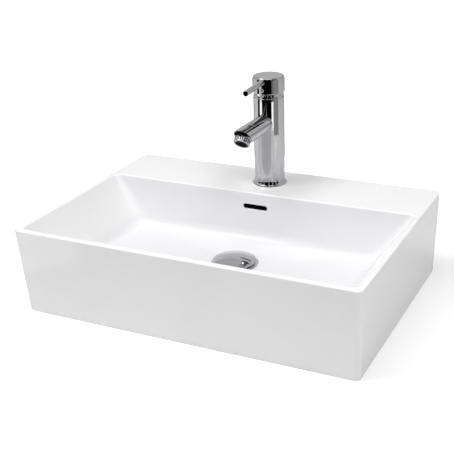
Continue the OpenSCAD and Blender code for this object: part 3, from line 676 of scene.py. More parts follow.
@dataclass
class Basin:
    """The ceramic basin: outer walls, rim, bowl, ledge, overflow and holes."""

    half_w: float = 255.0
    half_d: float = 182.5
    height: float = 128.0
    rim_w: float = 8.0
    rim_d: float = 9.6
    ledge_y: float = 75.0
    back_run: float = 5.0
    back_rise: float = 51.0
    drain_y: float = -2.5
    tap_y: float = 130.0
    tap_hole_r: float = 17.5
    tap_hole_z: Pair = (100.0, 140.0)
    bolt_x: float = 140.0
    bolt_z: float = 62.0
    bolt_r: float = 9.0
    bolt_y: Pair = (165.0, 190.0)
    pad_r: float = 19.0
    pad_y: Pair = (171.5, 181.5)
    slot_w: float = 39.6
    slot_h: float = 7.5
    slot_z: float = 106.0
    slot_flare: float = 1.3
    duct_w: float = 44.0
    duct_wall: float = 5.0
    duct_gap: float = 8.0
    duct_deep: float = 11.0
    duct_bend_z: float = 57.0
    window_z: float = 31.5
    window_h: float = 8.0
    duct_y: Pair = (11.5, 46.0)
    corner_steps: int = 12
    front_steps: int = 24
    side_steps: int = 16

    def stations(self) -> list[Station]:
        """Lists the lines round the basin, from the foot over the rim to the underside.

        Returns:
            The stations in order. The last one joins the first.
        """
        w, d, h, back = self.half_w, self.half_d, self.height, self.ledge_y
        rim_x, rim_y = w - self.rim_w, -d + self.rim_d
        misted, bare = Glazing.MISTED, Glazing.BARE
        return [
            # The ground foot, its outer edge, the top's outer edge and the rim
            Station(w - 11, -d + 16, d - 7, 0, 6, 6, 1.2, 3, finish=bare),
            Station(w - 4, -d + 9, d, 0, 10, 12, 1.8, 4, spread=3),
            Station(w, -d, d, h, 8, 12, 3.0, 6),
            Station(w - 3.6, -d + 3.6, d - 3.6, h, 4.4, 8.4, 0),
            Station(rim_x + 2.5, rim_y - 2.5, back + 4.8, h, 11.5, 12, 0),
            # The bowl's edge and the end of its walls
            Station(rim_x, rim_y, back, h, 9, 9, 4.2, 8, spread=4),
            Station(196.6, -137.2, 68.3, 58, 18, 18, 20, 10, spread=12),
            # The recess of the waste flange, the drain hole and the face under it
            drain_line(34.6, 46, 1.6, 4),
            drain_line(34.6, 43.5, 0.8, 3),
            drain_line(23, 43.5, 1.2, 3, bare, 1),
            drain_line(23, 26, 1.2, 3, bare),
            drain_line(37.5, 26, 2.0, 4, misted),
            drain_line(37.5, 37.6, 4.0, 4, misted, 8),
            # The bowl and the ledge from below, and the inside of the outer walls
            Station(200.9, -142.4, 75.8, 50.6, 26, 26, 28, 8, spread=4, finish=misted),
            Station(245.4, -173.9, 82, 116, 17, 17, 0.3, 2, finish=misted),
            Station(247.6, -174.6, 175.5, 116, 6, 6, 0.3, 2, spread=3, finish=misted),
        ]

    def outline(self, at: Station) -> list[Vector]:
        """Draws a station's rounded rectangle, from the front left corner on.

        Args:
            at: The station.

        Returns:
            The ring's points, as many for every station.
        """
        corners = (
            (-at.half_w + at.front_r, at.front + at.front_r, at.front_r),
            (at.half_w - at.front_r, at.front + at.front_r, at.front_r),
            (at.half_w - at.back_r, at.back - at.back_r, at.back_r),
            (-at.half_w + at.back_r, at.back - at.back_r, at.back_r),
        )
        arcs = [[Vector((x, y, at.z)) for x, y in
                 arc(*corner, (180 + 90 * k) % 360, 90, self.corner_steps)]
                for k, corner in enumerate(corners)]
        ring: list[Vector] = []
        for k, points in enumerate(arcs):
            steps = self.side_steps if k % 2 else self.front_steps
            end = arcs[(k + 1) % 4][0]
            ring.extend(points)
            ring.extend(points[-1].lerp(end, s / steps) for s in range(1, steps))
        return ring

    def rings(self) -> tuple[list[list[Vector]], list[int]]:
        """Builds the basin's lines with every corner rounded.

        Returns:
            The rings from the foot round to the foot, and each band's material number.
        """
        stations = self.stations()
        lines = [self.outline(s) for s in stations]
        first = next(k for k, s in enumerate(stations) if s.circle_r)
        around = [math.atan2(p.y - self.drain_y, p.x) for p in lines[first - 1]]
        for k, at in enumerate(stations):
            if at.circle_r:
                lines[k] = [Vector((at.circle_r * math.cos(a),
                                    self.drain_y + at.circle_r * math.sin(a), at.z))
                            for a in around]
        radii, steps = [s.soften_r for s in stations], [s.steps for s in stations]
        columns = []
        for points in zip(*lines):
            soft = soften(points, radii, steps, closed=True)
            column, k = [], 0
            for at in stations:
                column.extend(soft[k:k + at.size()])
                k += at.size()
                last, then = column[-1], soft[k % len(soft)]
                column.extend(last.lerp(then, s / (at.spread + 1))
                              for s in range(1, at.spread + 1))
            columns.append(column)
        bands = [at.finish for at in stations for _ in range(at.size() + at.spread)]
        return [list(ring) for ring in zip(*columns)], bands

    def bowl_back(self, z: float) -> float:
        """Returns where the bowl's back wall stands at a height."""
        return self.ledge_y - self.back_run * (self.height - z) / self.back_rise

    def duct(self, grow: float) -> Shell:
        """Makes the overflow channel behind the bowl, or its outside when it is grown.

        Args:
            grow: Thickness of the channel's wall, or 0 for its hollow.

        Returns:
            The closed surface.
        """
        g, wall, deep = grow, self.duct_gap, self.duct_deep
        top, foot = self.slot_z + self.slot_h / 2 + 4, self.bowl_back(46) + wall
        low, high, bend = self.window_z, self.window_z + self.window_h, self.duct_bend_z
        near, far = (self.drain_y + y for y in self.duct_y)
        side = [
            (self.bowl_back(top) + wall - g, top + g),
            (self.bowl_back(top) + wall + deep + g, top + g),
            (foot + deep + g, bend + g / 2),
            (self.ledge_y - g / 4, high + self.duct_wall - g),
            (far, low - g), (near, low - g), (near, high), (far, high + g),
        ]
        if g:
            # The wall's points stay inside the bowl's own thickness
            side += [(43.5, 44.8), (55.0, 49.2), (62.6, 52.2), (67.0, 56.0), (71.6, 64.0),
                     (72.4, 70.0)]
        else:
            side += [(self.ledge_y - deep * 1.2, 48.75), (foot, bend + self.duct_wall)]
        half = self.duct_w / 2 + g
        made = loft([[Vector((x, y, z)) for y, z in side] for x in (-half, half)])
        # The hollow takes the overflow's painted shade
        made.finish = [Glazing.MISTED if grow else Glazing.CHANNEL_PAINTED_SHADE] * len(made.faces)
        return made

    def slot_tool(self) -> Shell:
        """Makes the overflow slot's hollow, flared towards the bowl.

        Returns:
            The closed surface, lying along Y.
        """
        face_y = self.bowl_back(self.slot_z) - 0.35
        flare, half = self.slot_flare, (self.slot_w - self.slot_h) / 2
        depths = [(-6.0, flare)]
        for s in range(7):
            a = math.radians(90 * s / 6)
            depths.append((flare * (1 - math.cos(a)), flare * (1 - math.sin(a))))
        depths.append((20.0, 0.0))
        rings = []
        for depth, grow in depths:
            r = self.slot_h / 2 + grow
            ends = arc(half, self.slot_z, r, -90, 180, 16) + arc(-half, self.slot_z, r, 90,
                                                                 180, 16)
            rings.append([Vector((x, face_y + depth, z)) for x, z in ends])
        # The slot's throat ends in the overflow's painted shade
        return loft(rings, finish=[Glazing.GLOSS] * (len(rings) - 2) + [Glazing.CHANNEL_PAINTED_SHADE])

    def bolt_drums(self, radius: float, span: Pair,
                   finish: Glazing) -> list[Shell]:
        """Makes a drum at each wall bolt, between two places along Y."""
        made = drum(radius, *span, 64, finish)
        return [made.moved(shifted(x, 0, self.bolt_z) @ turned(-90, "X"))
                for x in (-self.bolt_x, self.bolt_x)]

    def build(self) -> None:
        """Builds the basin and dresses it."""
        rings, bands = self.rings()
        piece = mesh_of(loft(rings, loop=True, finish=bands), "basin_china",
                        [GLAZE, MISTED, BISQUE, CHANNEL_PAINTED_SHADE])
        carve(piece, self.duct(self.duct_wall),
              *self.bolt_drums(self.pad_r, self.pad_y, Glazing.MISTED), cut=Cut.ONTO)
        hole = drum(self.tap_hole_r, *self.tap_hole_z, 96, Glazing.BARE)
        carve(piece, self.duct(0), self.slot_tool(), hole.moved(shifted(0, self.tap_y, 0)),
              *self.bolt_drums(self.bolt_r, self.bolt_y, Glazing.BARE))
        weigh_normals(piece)
        settle(piece, "basin_assembly", "glaze", "basin")


# Waste


@dataclass
class Waste:
    """The push waste: threaded body with its flange, domed cap, spring and seals."""

    drain_y: float = -2.5
    tail_r: float = 20.95
    bore_r: float = 17.55
    tail_z: float = 2.0
    flange_z: float = 45.0
    flange_top_z: float = 47.0
    flange_r: float = 31.5
    seat_r: float = 25.0
    window_z: float = 31.5
    window_w: float = 14.0
    window_h: float = 8.0
    bridge_z: Pair = (22.0, 28.0)
    bridge_l: float = 38.4
    bridge_w: float = 6.0
    hub_r: float = 9.5
    hub_bore_r: float = 7.05
    cap_z: float = 48.8
    cap_r: float = 32.25
    cap_edge: float = 2.4
    cap_rise: float = 5.8
    cap_line: float = 0.9
    cap_web: float = 1.5
    socket_r: float = 2.55
    socket_top: float = 3.7
    boss_r: float = 6.5
    thread_z: Pair = (10.5, 44.0)
    thread_pitch: float = 2.309
    thread_depth: float = 1.1
    run_out: float = 1.5
    crest: float = 1.15
    wire_r: float = 0.42
    coils: float = 7.0
    coil_steps: int = 28
    wire_steps: int = 10

    def at(self) -> Matrix:
        """Returns the drain's own place."""
        return shifted(0, self.drain_y, 0)

    def thread(self, r: float, z: float, angle: float) -> float:
        """Returns how far the thread lies under the tail's outside, as a negative length."""
        fade, flank = thread_at(z, angle, self.thread_pitch, self.thread_z, self.run_out)
        return (-self.thread_depth * fade * min(1.0, flank * self.crest)
                if r >= self.tail_r - 0.01 else 0.0)

    def body(self) -> None:
        """Builds the threaded tail with its flange, windows and bridge."""
        low, high = self.thread_z
        rows = int((high - low) / self.thread_pitch * 8)
        tail = [(self.tail_r, low + (high - low) * i / rows) for i in range(rows + 1)]
        rim = rounded_profile([
            (self.tail_r, self.flange_z), (self.flange_r, self.flange_z),
            (self.flange_r, self.flange_top_z), (self.seat_r, self.flange_top_z),
            (self.tail_r, self.flange_top_z - 0.8), (self.bore_r, self.flange_top_z - 1.8)],
            [0, 0.5, 0.9, 0.8, 0.8, 0.5], 4)
        # The chamfered end and the neck in front of the thread
        end = [(self.bore_r, self.tail_z), (self.tail_r - 1, self.tail_z),
               (self.tail_r - 0.02, self.tail_z + 1), (self.tail_r - 0.02, 9.4),
               (self.tail_r - 0.6, 9.5), (self.tail_r - 0.6, 10.4)]
        shell = revolve(end + tail + rim, 96, self.thread)
        piece = mesh_of(shell.moved(self.at()), "waste_body_turned", [CHROME])
        half = self.window_w / 2
        window = block((-half, 0, self.window_z), (half, 24, self.window_z + self.window_h))
        carve(piece, *(window.moved(self.at() @ turned(a, "Z")) for a in (0, 90, 180, 270)))
        x, y, (z, top) = self.bridge_l / 2, self.bridge_w / 2, self.bridge_z
        carve(piece, block((-x, -y, z), (x, y, top)).moved(self.at()),
              drum(self.hub_r, z, top, 48).moved(self.at()), cut=Cut.ONTO)
        carve(piece, drum(self.hub_bore_r, z - 2, top + 2, 48).moved(self.at()))
        settle(piece, "basin_assembly", "chrome", "waste_body")

    def cap(self) -> None:
        """Builds the domed cap with its rolled edge and the socket of the plunger."""
        z, r, top = self.cap_z, self.cap_r, self.cap_z + self.cap_edge
        crown_r = (r ** 2 + self.cap_rise ** 2) / (2 * self.cap_rise)
        crown_z = top + self.cap_rise - crown_r
        web_z, socket_z = z + self.cap_web, z + self.socket_top
        under = rounded_profile([
            (self.socket_r, socket_z), (self.socket_r, z - 1.2), (self.boss_r, z - 1.2),
            (self.boss_r, z + 0.3), (20.0, web_z), (r - 3, web_z), (r - 2, z)],
            [0, 0.2, 0.5, 0.5, 0.3, 0.3, 0.2], 3, closed=False)
        line_r, line_z = r - self.cap_line, z + self.cap_line
        edge = rounded_profile([
            (line_r, z), (line_r, line_z), (r, line_z), (r, top), (r - 3, top + 0.7)],
            [0, 0, 0.3, 1.1, 0], 5, closed=False)
        limit = math.asin(r / crown_r)
        angles = (limit * (1 - s / 24) for s in range(1, 24))
        dome = [(crown_r * math.sin(a), crown_z + crown_r * math.cos(a)) for a in angles
                if crown_r * math.sin(a) < r - 3]
        profile = [(0, socket_z)] + under + edge[:-1] + dome + [(0, crown_z + crown_r)]
        shell = revolve(profile, 144, loop=False)
        # The underside and the line under the edge take the near black dull plate: painted
        # shade under the cap
        shell.tag(1, lambda across, up: 20 < across < r - 0.2 and up < web_z + 0.1)
        piece = mesh_of(shell.moved(self.at()), "waste_cap_domed", [CHROME, DULL_PLATE_PAINTED_SHADE])
        settle(piece, "waste_plug", "chrome", "waste_cap")

    def spring(self) -> None:
        """Builds the latch's helical spring at one length; the real spring stretches as the cap
        pops up.
        """
        low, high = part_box("waste_latch_spring")
        wire, coils = self.wire_r, self.coils
        radius = (high.x - low.x) / 2 / MM - wire - 0.05
        floor, top = low.z / MM + wire, high.z / MM - wire
        count = int(coils * self.coil_steps)
        rings = []
        for i in range(count + 1):
            share = i / count
            # The end coils lie flat, as a closed and ground spring's do
            rise = max(0.0, min(1.0, (share * coils - 0.8) / (coils - 1.6)))
            a = 2 * math.pi * share * coils
            centre = Vector((radius * math.cos(a), radius * math.sin(a) + self.drain_y,
                             floor + (top - floor) * rise))
            out = Vector((math.cos(a), math.sin(a), 0))
            rings.append([centre + out * wire * across + Vector((0, 0, wire * up))
                          for across, up in circle(1.0, self.wire_steps)])
        piece = mesh_of(loft(rings), "waste_latch_spring_coil", [STAINLESS])
        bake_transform(piece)
        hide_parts("waste_latch_spring")
        LOG.info("%s: %d faces", piece.name, len(piece.data.polygons))

    def build(self) -> None:
        """Builds the waste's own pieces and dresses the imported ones."""
        self.body()
        self.cap()
        self.spring()
        dress_nodes(("waste_upper_seal", "waste_lower_seal", "waste_slip_washer",
                     "waste_back_nut", "waste_cap_seal", "waste_plunger",
                     "waste_latch_cam", "waste_latch_housing"))


# Tap


@dataclass(frozen=True)
class Bore:
    """One upright bore in the tap's body, in the tap's own frame."""

    x: float
    y: float
    radius: float
    low: float
    high: float

    def tool(self) -> Shell:
        """Returns the tool solid of this bore."""
        return drum(self.radius, self.low, self.high, 40).moved(shifted(self.x, self.y, 0))


@dataclass
class Tap:
    """The cast tap body with its spout and aerator."""

    y: float = 130.0
    z: float = 128.0
    body_r: float = 23.0
    body_h: float = 137.0
    foot_r: float = 26.5
    foot_h: float = 1.5
    flare_h: float = 14.0
    flare_steps: int = 16
    base_r: float = 20.95
    base_h: float = 2.0
    seal_r: float = 24.05
    pocket_r: float = 19.05
    pocket_z: float = 127.0
    seat_r: float = 17.6
    seat_z: float = 112.0
    spout_r: float = 13.6
    spout_z: float = 99.0
    spout_steps: int = 96
    reach: float = 93.0
    cut_degrees: float = 45.0
    lip: float = 1.6
    recess: float = 2.5
    drop: float = 2.5
    collar_r: float = 12.0
    collar_l: float = 10.5
    collar_bore_r: float = 10.0
    collar_mouth_r: float = 9.4
    collar_seat: float = 6.0
    ribs: int = 24
    rib_depth: float = 1.15
    rib_margin: float = 1.6
    rib_run_out: float = 0.6
    trim_in: float = 15.4
    trim_h: float = 6.6
    seam_r: float = 21.7
    seam_h: float = 0.8
    dome_r: float = 23.72
    dome_z: float = 132.62
    # Two inlets and the ways up from them, the stud's hole, the core's hole, the outlet
    bores: tuple[Bore, ...] = (
        Bore(-8, 4, 4.5, -1, 12), Bore(8, 4, 4.5, -1, 12),
        Bore(-8, 4, 4.0, 11, 113), Bore(8, 4, 4.0, 11, 113),
        Bore(0, -11, 4.05, -1, 10), Bore(0, 13, 4.0, -1, 14), Bore(0, -8, 4.0, 99, 113))

    def at(self, matrix: Optional[Matrix] = None) -> Matrix:
        """Returns the tap's own place, times a matrix inside it."""
        return shifted(0, self.y, self.z) @ (matrix or Matrix.Identity(4))

    def spout_end(self) -> Matrix:
        """Returns the place of the spout's slanted end, with +Z out along the aerator."""
        return (shifted(0, -self.reach, self.spout_z) @ turned(180 - self.cut_degrees, "X")
                @ shifted(0, -self.drop, 0))

    def slanted(self, radius: float, out: float) -> list[Vector]:
        """Returns the ring where a tube meets the spout's end plane, moved out so far."""
        cut = math.radians(self.cut_degrees)
        return [Vector((x, -(self.reach + (up * math.cos(cut) + out) / math.sin(cut)),
                        self.spout_z + up)) for up, x in circle(radius, self.spout_steps)]

    def bored(self, radius: float, out: float) -> list[Vector]:
        """Returns a ring about the aerator's axis."""
        place = self.spout_end()
        return [place @ Vector((x, up, out)) for up, x in circle(radius, self.spout_steps)]

    def spout(self) -> Shell:
        """Makes the spout with the lip, recess and bore of its slanted end.

        Returns:
            The closed surface in the tap's own frame.
        """
        r, inner, bore_r = self.spout_r, self.spout_r - self.lip, self.collar_r - 0.95
        root = [Vector((x, -4.0, self.spout_z + up))
                for up, x in circle(r, self.spout_steps)]
        lip = ((r, -0.55), (r - 0.05, -0.25), (r - 0.2, -0.06), (r - 0.45, 0.0),
               (inner + 0.3, 0.0), (inner + 0.1, -0.08), (inner, -0.35),
               (inner, -self.recess))
        rings = [root] + [self.slanted(*point) for point in lip]
        rings += [self.bored(bore_r, -self.recess), self.bored(bore_r, -8.0)]
        # The recess and the bore behind the lip take the near black dull plate: painted shade
        return loft(rings, finish=[0] * 6 + [1] * (len(rings) - 7))

    def body(self) -> None:
        """Builds the body and spout as one casting, with its pocket and bores."""
        flare = []
        for s in range(self.flare_steps + 1):
            a = math.radians(90 * s / self.flare_steps)
            flare.append((self.body_r + (self.foot_r - self.body_r) * (1 - math.sin(a)),
                          self.foot_h + (self.flare_h - self.foot_h) * (1 - math.cos(a))))
        foot = rounded_profile([(self.seal_r, 0), (self.foot_r, 0), (self.foot_r, self.foot_h)],
                               [0, 0.5, 0], 4, closed=False)
        top = rounded_profile([
            (self.body_r, self.body_h - 4), (self.body_r, self.body_h),
            (self.pocket_r, self.body_h), (self.pocket_r, self.pocket_z),
            (self.seat_r, self.pocket_z), (self.seat_r, self.seat_z)],
            [0, 0.8, 0.3, 0, 0, 0], 5, closed=False)
        base = [(0, 0), (self.base_r, 0), (self.base_r, self.base_h),
                (self.seal_r, self.base_h)]
        profile = base + foot[:-1] + flare[1:] + top + [(0, self.seat_z)]
        piece = mesh_of(revolve(profile, 128, loop=False), "tap_casting", [CHROME, DULL_PLATE_PAINTED_SHADE], 30)
        carve(piece, self.spout(), cut=Cut.ONTO, sharp_degrees=30)
        carve(piece, *(bore.tool() for bore in self.bores), sharp_degrees=30)
        piece.data.transform(Matrix.Translation((0, self.y * MM, self.z * MM)))
        weigh_normals(piece)
        settle(piece, "basin_assembly", "chrome", "tap_body")

    def collar(self) -> None:
        """Builds the aerator's collar with its grip ribs and the neck that screws in."""
        low, high = self.rib_margin, self.collar_l - self.rib_margin
        skin, seat = self.collar_r - 0.05, self.collar_seat
        bore, neck, mouth = self.collar_bore_r, self.collar_r - 1, self.collar_mouth_r

        def ribbed(r: float, z: float, angle: float) -> float:
            """Returns how deep the groove between two ribs is at a height and angle."""
            if r < self.collar_r - 0.5 or not low <= z <= high:
                return 0.0
            fade = min(1.0, (z - low) / self.rib_run_out, (high - z) / self.rib_run_out)
            return -self.rib_depth * fade * (0.5 - 0.5 * math.cos(self.ribs * angle)) ** 3

        outer = [(skin, low + (high - low) * i / 12) for i in range(13)]
        start = rounded_profile([(neck, 0.3), (skin, 0.3), (skin, 1.2)],
                                [0, 0.4, 0], 3, False)
        end = rounded_profile([(skin, high + 0.2), (skin, self.collar_l),
                               (mouth, self.collar_l), (mouth, seat), (bore, seat)],
                              [0, 0.8, 0.4, 0, 0], 5, False)
        profile = [(bore, -seat), (neck, -seat), (neck, 0.3)] + start[1:] + outer + end
        shell = revolve(profile, self.ribs * 12, ribbed)
        # The grooves take the near black dull plate: painted shade between the ribs
        shell.tag(1, lambda r, z: low < z < high
                  and self.collar_r - 1.3 < r < self.collar_r - 0.17)
        piece = mesh_of(shell.moved(self.at(self.spout_end())),
                        "aerator_collar_ribbed", [CHROME, DULL_PLATE_PAINTED_SHADE], 40)
        settle(piece, "basin_assembly", "chrome", "aerator_collar")

    def trim(self) -> None:
        """Builds the domed trim ring between the body and the handle."""
        low, top = self.body_h + self.seam_h, self.body_h + self.trim_h
        outer = [(self.seam_r, self.body_h), (self.seam_r, low)]
        for s in range(15):
            z = low + (self.trim_h - self.seam_h) * s / 14
            domed = math.sqrt(self.dome_r ** 2 - (z - self.dome_z) ** 2)
            outer.append((min(self.body_r - 0.3, domed), z))
        profile = [(self.trim_in, self.body_h)] + outer + [(self.trim_in, top)]
        piece = mesh_of(revolve(profile, 128).moved(self.at()), "tap_trim_domed", [CHROME])
        settle(piece, "basin_assembly", "chrome", "tap_trim_ring")

    def build(self) -> None:
        """Builds the tap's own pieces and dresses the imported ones."""
        self.body()
        self.collar()
        self.trim()
        dress_nodes(("tap_base_seal", "tap_retaining_nut", "aerator_insert",
                     "aerator_screen", "aerator_washer"))


@dataclass
class Cartridge:
    """The ceramic disc cartridge inside the tap."""

    nodes: tuple[str, ...] = (
        "cartridge_housing", "cartridge_base", "cartridge_seals", "cartridge_fixed_disc",
        "cartridge_moving_disc", "cartridge_slider", "cartridge_carrier",
        "cartridge_pivot_pin", "cartridge_stem")

    def build(self) -> None:
        """Dresses the cartridge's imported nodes."""
        dress_nodes(self.nodes)


@dataclass
class Handle:
    """The round handle with its lever and the plug over its grub screw."""

    y: float = 130.0
    z: float = 128.0
    radius: float = 24.0
    low: float = 144.2
    high: float = 168.5
    skirt_r: float = 21.5
    ceiling: float = 152.46
    boss_r: float = 8.5
    boss_z: float = 146.2
    edge_r: float = 3.0
    stem_w: float = 9.2
    stem_t: float = 8.2
    stem_top: float = 157.56
    lever_r: float = 4.3
    lever_z: float = 162.5
    lever_reach: float = 81.0
    lever_root: float = 9.95
    dip_degrees: float = 3.0
    grub_r: float = 2.55
    dot_r: float = 3.25
    dot_z: float = 149.95
    dot_deep: float = 3.1
    dot_face: float = -0.12
    ring_r: Pair = (1.55, 2.75)
    ring_deep: float = 0.15

    def along_lever(self) -> Matrix:
        """Returns the lever's place, with +Z out along it from the cap's outside."""
        return (shifted(0, self.y - self.radius, self.z + self.lever_z)
                @ turned(90 + self.dip_degrees, "X"))

    def forward(self, z: float) -> Matrix:
        """Returns a place at the cap's front, with +Z towards the user."""
        return shifted(0, self.y - self.radius, self.z + z) @ turned(90, "X")

    def cap(self) -> None:
        """Builds the cap with its rounded top edge and its holes."""
        skin = rounded_profile([
            (0, self.boss_z), (self.boss_r, self.boss_z), (self.boss_r, self.ceiling),
            (self.skirt_r, self.ceiling), (self.skirt_r, self.low), (self.radius, self.low),
            (self.radius, self.high), (0, self.high)],
            [0, 0.3, 0.5, 0.8, 0.2, 0.5, self.edge_r, 0], 8, closed=False)
        place, dot = shifted(0, self.y, self.z), self.forward(self.dot_z)
        piece = mesh_of(revolve(skin, 144, loop=False).moved(place), "handle_cap_turned",
                        [CHROME], 30)
        half_w, half_t = self.stem_w / 2, self.stem_t / 2
        socket = block((-half_w, -half_t, self.boss_z - 1), (half_w, half_t, self.stem_top))
        carve(piece, socket.moved(place),
              drum(self.lever_r + 0.05, -10, 5).moved(self.along_lever()),
              drum(self.dot_r + 0.05, -4.5, 2, 48).moved(dot),
              drum(self.grub_r, -self.radius, -4, 32).moved(dot), sharp_degrees=30)
        weigh_normals(piece)
        settle(piece, "handle", "chrome", "handle_cap")

    def lever(self) -> None:
        """Builds the straight lever with its softened end."""
        root, r = -self.lever_root, self.lever_r
        length = (self.lever_reach - self.radius) / math.cos(math.radians(self.dip_degrees))
        profile = rounded_profile([(0, root), (r, root), (r, length), (0, length)],
                                  [0, 0.4, 0.7, 0], 6, closed=False)
        piece = mesh_of(revolve(profile, 72, loop=False).moved(self.along_lever()),
                        "handle_lever_turned", [CHROME], 40)
        weigh_normals(piece)
        settle(piece, "handle", "chrome", "handle_lever")

    def dot(self) -> None:
        """Builds the plug over the grub screw, with a pale ring round its dark middle."""
        face, (inner, outer) = self.dot_face, self.ring_r
        sunk, root = face - self.ring_deep, -self.dot_deep
        profile = rounded_profile([
            (0, root), (self.dot_r, root), (self.dot_r, face), (outer, face), (outer, sunk),
            (inner, sunk), (inner, face), (0, face)],
            [0, 0.2, 0.25, 0, 0, 0, 0, 0], 3, closed=False)
        shell = revolve(profile, 64, loop=False)
        shell.tag(1, lambda r, z: z > sunk - 0.05 and inner - 0.1 < r < outer + 0.1)
        piece = mesh_of(shell.moved(self.forward(self.dot_z)),
                        "handle_indicator_ringed", [PLUG_ABS, RING_ABS])
        settle(piece, "handle", "indicator", "handle_indicator")

    def build(self) -> None:
        """Builds the handle's own pieces and dresses its grub screw."""
        self.cap()
        self.lever()
        self.dot()
        dress_nodes(("handle_grub_screw",))


@dataclass
class Fixing:
    """The stud, horseshoe washers and nut that clamp the tap to the ledge."""

    y: float = 119.0
    low: float = 82.0
    high: float = 137.5
    radius: float = 4.0
    pitch: float = 1.25
    depth: float = 0.55
    chamfer: float = 0.5
    run_out: float = 1.0

    def rolled(self, r: float, z: float, angle: float) -> float:
        """Returns how far the rolled thread lies under the stud's outside, below zero."""
        fade, flank = thread_at(z, angle, self.pitch, (self.low, self.high), self.run_out)
        return -self.depth * fade * flank - self.chamfer * (1 - fade)

    def build(self) -> None:
        """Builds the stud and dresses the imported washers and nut."""
        rows = int((self.high - self.low) / self.pitch * 6)
        side = [(self.radius, self.low + (self.high - self.low) * i / rows)
                for i in range(rows + 1)]
        shell = revolve([(0, self.low)] + side + [(0, self.high)], 36, self.rolled,
                        loop=False)
        piece = mesh_of(shell.moved(shifted(0, self.y, 0)), "fixing_stud_threaded", [ZINC], 60)
        settle(piece, "basin_assembly", "steel", "fixing_stud")
        dress_nodes(("fixing_rubber_washer", "fixing_steel_washer", "fixing_nut"))


# Studio


BLACK = "#040404"
WHITE = "#FFFFFF"


@dataclass(frozen=True)
class Lamp:
    """One soft square lamp that neither the camera nor a mirror sees. Lengths are metres."""

    name: str
    place: tuple[float, float, float]
    aim: tuple[float, float, float]
    size: float
    watts: float

    def hang(self) -> None:
        """Hangs the lamp in the scene."""
        data = bpy.data.lights.new(self.name, "AREA")
        data.energy, data.size = self.watts, self.size
        made = bpy.data.objects.new(self.name, data)
        way = Vector(self.aim) - Vector(self.place)
        made.matrix_world = (Matrix.Translation(self.place)
                             @ way.to_track_quat("-Z", "Y").to_matrix().to_4x4())
        made.visible_camera = False
        made.visible_glossy = False
        bpy.context.scene.collection.objects.link(made)


@dataclass(frozen=True)
class Card:
    """One glowing or dark card that only mirrors see."""

    name: str
    tone: str
    strength: float

    def shell(self, studio: "Studio") -> Shell:
        """Returns the card's surface in millimetres."""
        raise NotImplementedError

    def colour(self, tree: Tree) -> object:
        """Returns the card's colour, or a socket that gives it."""
        return linear(self.tone)

    def stand(self, studio: "Studio") -> None:
        """Puts the card in the scene.

        Args:
            studio: The studio that it stands in.
        """
        made = mesh_of(self.shell(studio), self.name, [])
        paint = blank_material(self.name)
        glow = add_node(paint.node_tree, "ShaderNodeEmission", {
            "Color": self.colour(paint.node_tree), "Strength": self.strength})
        add_node(paint.node_tree, "ShaderNodeOutputMaterial", {"Surface": glow.outputs[0]})
        made.data.materials.append(paint)
        made.visible_camera = False
        made.visible_diffuse = False
        made.visible_shadow = False
        made.visible_transmission = False


@dataclass(frozen=True)
class Fade(Card):
    """A card on the floor whose tone runs to another between two values of Y.

    Its corners and the run are millimetres.
    """

    corners: tuple[tuple[float, float], ...]
    far_tone: str
    run: Pair
    lift: float = 1.0

    def shell(self, studio: "Studio") -> Shell:
        """Returns the card's surface, just over the floor."""
        return Shell([Vector((x, y, self.lift)) for x, y in self.corners],
                     [tuple(range(len(self.corners)))], [0])

    def colour(self, tree: Tree) -> Socket:
        """Returns the socket of the running tone."""
        share = ranged(tree, axis_of(tree, place_in(tree), "Y"),
                       (self.run[0] * MM, self.run[1] * MM))
        return mixed(tree, share, linear(self.tone), linear(self.far_tone))


@dataclass(frozen=True)
class Band(Card):
    """A card bent round the tap's axis.

    It runs from one radius and height to another, in millimetres, and between two bearings
    in degrees, counted from the camera's side towards the viewer's right.
    """

    left: float
    right: float
    start: Pair
    end: Pair

    def shell(self, studio: "Studio") -> Shell:
        """Makes the band's surface.

        Args:
            studio: The studio, which knows the camera's side and the tap's place.

        Returns:
            The surface.
        """
        steps = max(2, round(abs(self.right - self.left) / 3))
        points = []
        for radius, z in (self.start, self.end):
            points += [Vector((x, y, z)) for x, y in arc(
                0, studio.tap_y, radius, studio.azimuth - 90 + self.left,
                self.right - self.left, steps)]
        faces = [(s, s + 1, steps + s + 2, steps + s + 1) for s in range(steps)]
        return Shell(points, faces, [0] * steps)


def mat(name: str, tone: str, left: float, right: float, near: float, far: float = 5000,
        strength: float = 1.0) -> Band:
    """Returns a band that lies just over the floor, between two radii."""
    return Band(name, tone, strength, left, right, (near, 1), (far, 1))


def panel(name: str, left: float, right: float, low: float, high: float, tone: str = BLACK,
          strength: float = 1.0) -> Band:
    """Returns a band that stands upright 1.8 m from the tap, between two heights."""
    return Band(name, tone, strength, left, right, (1800, low), (1800, high))


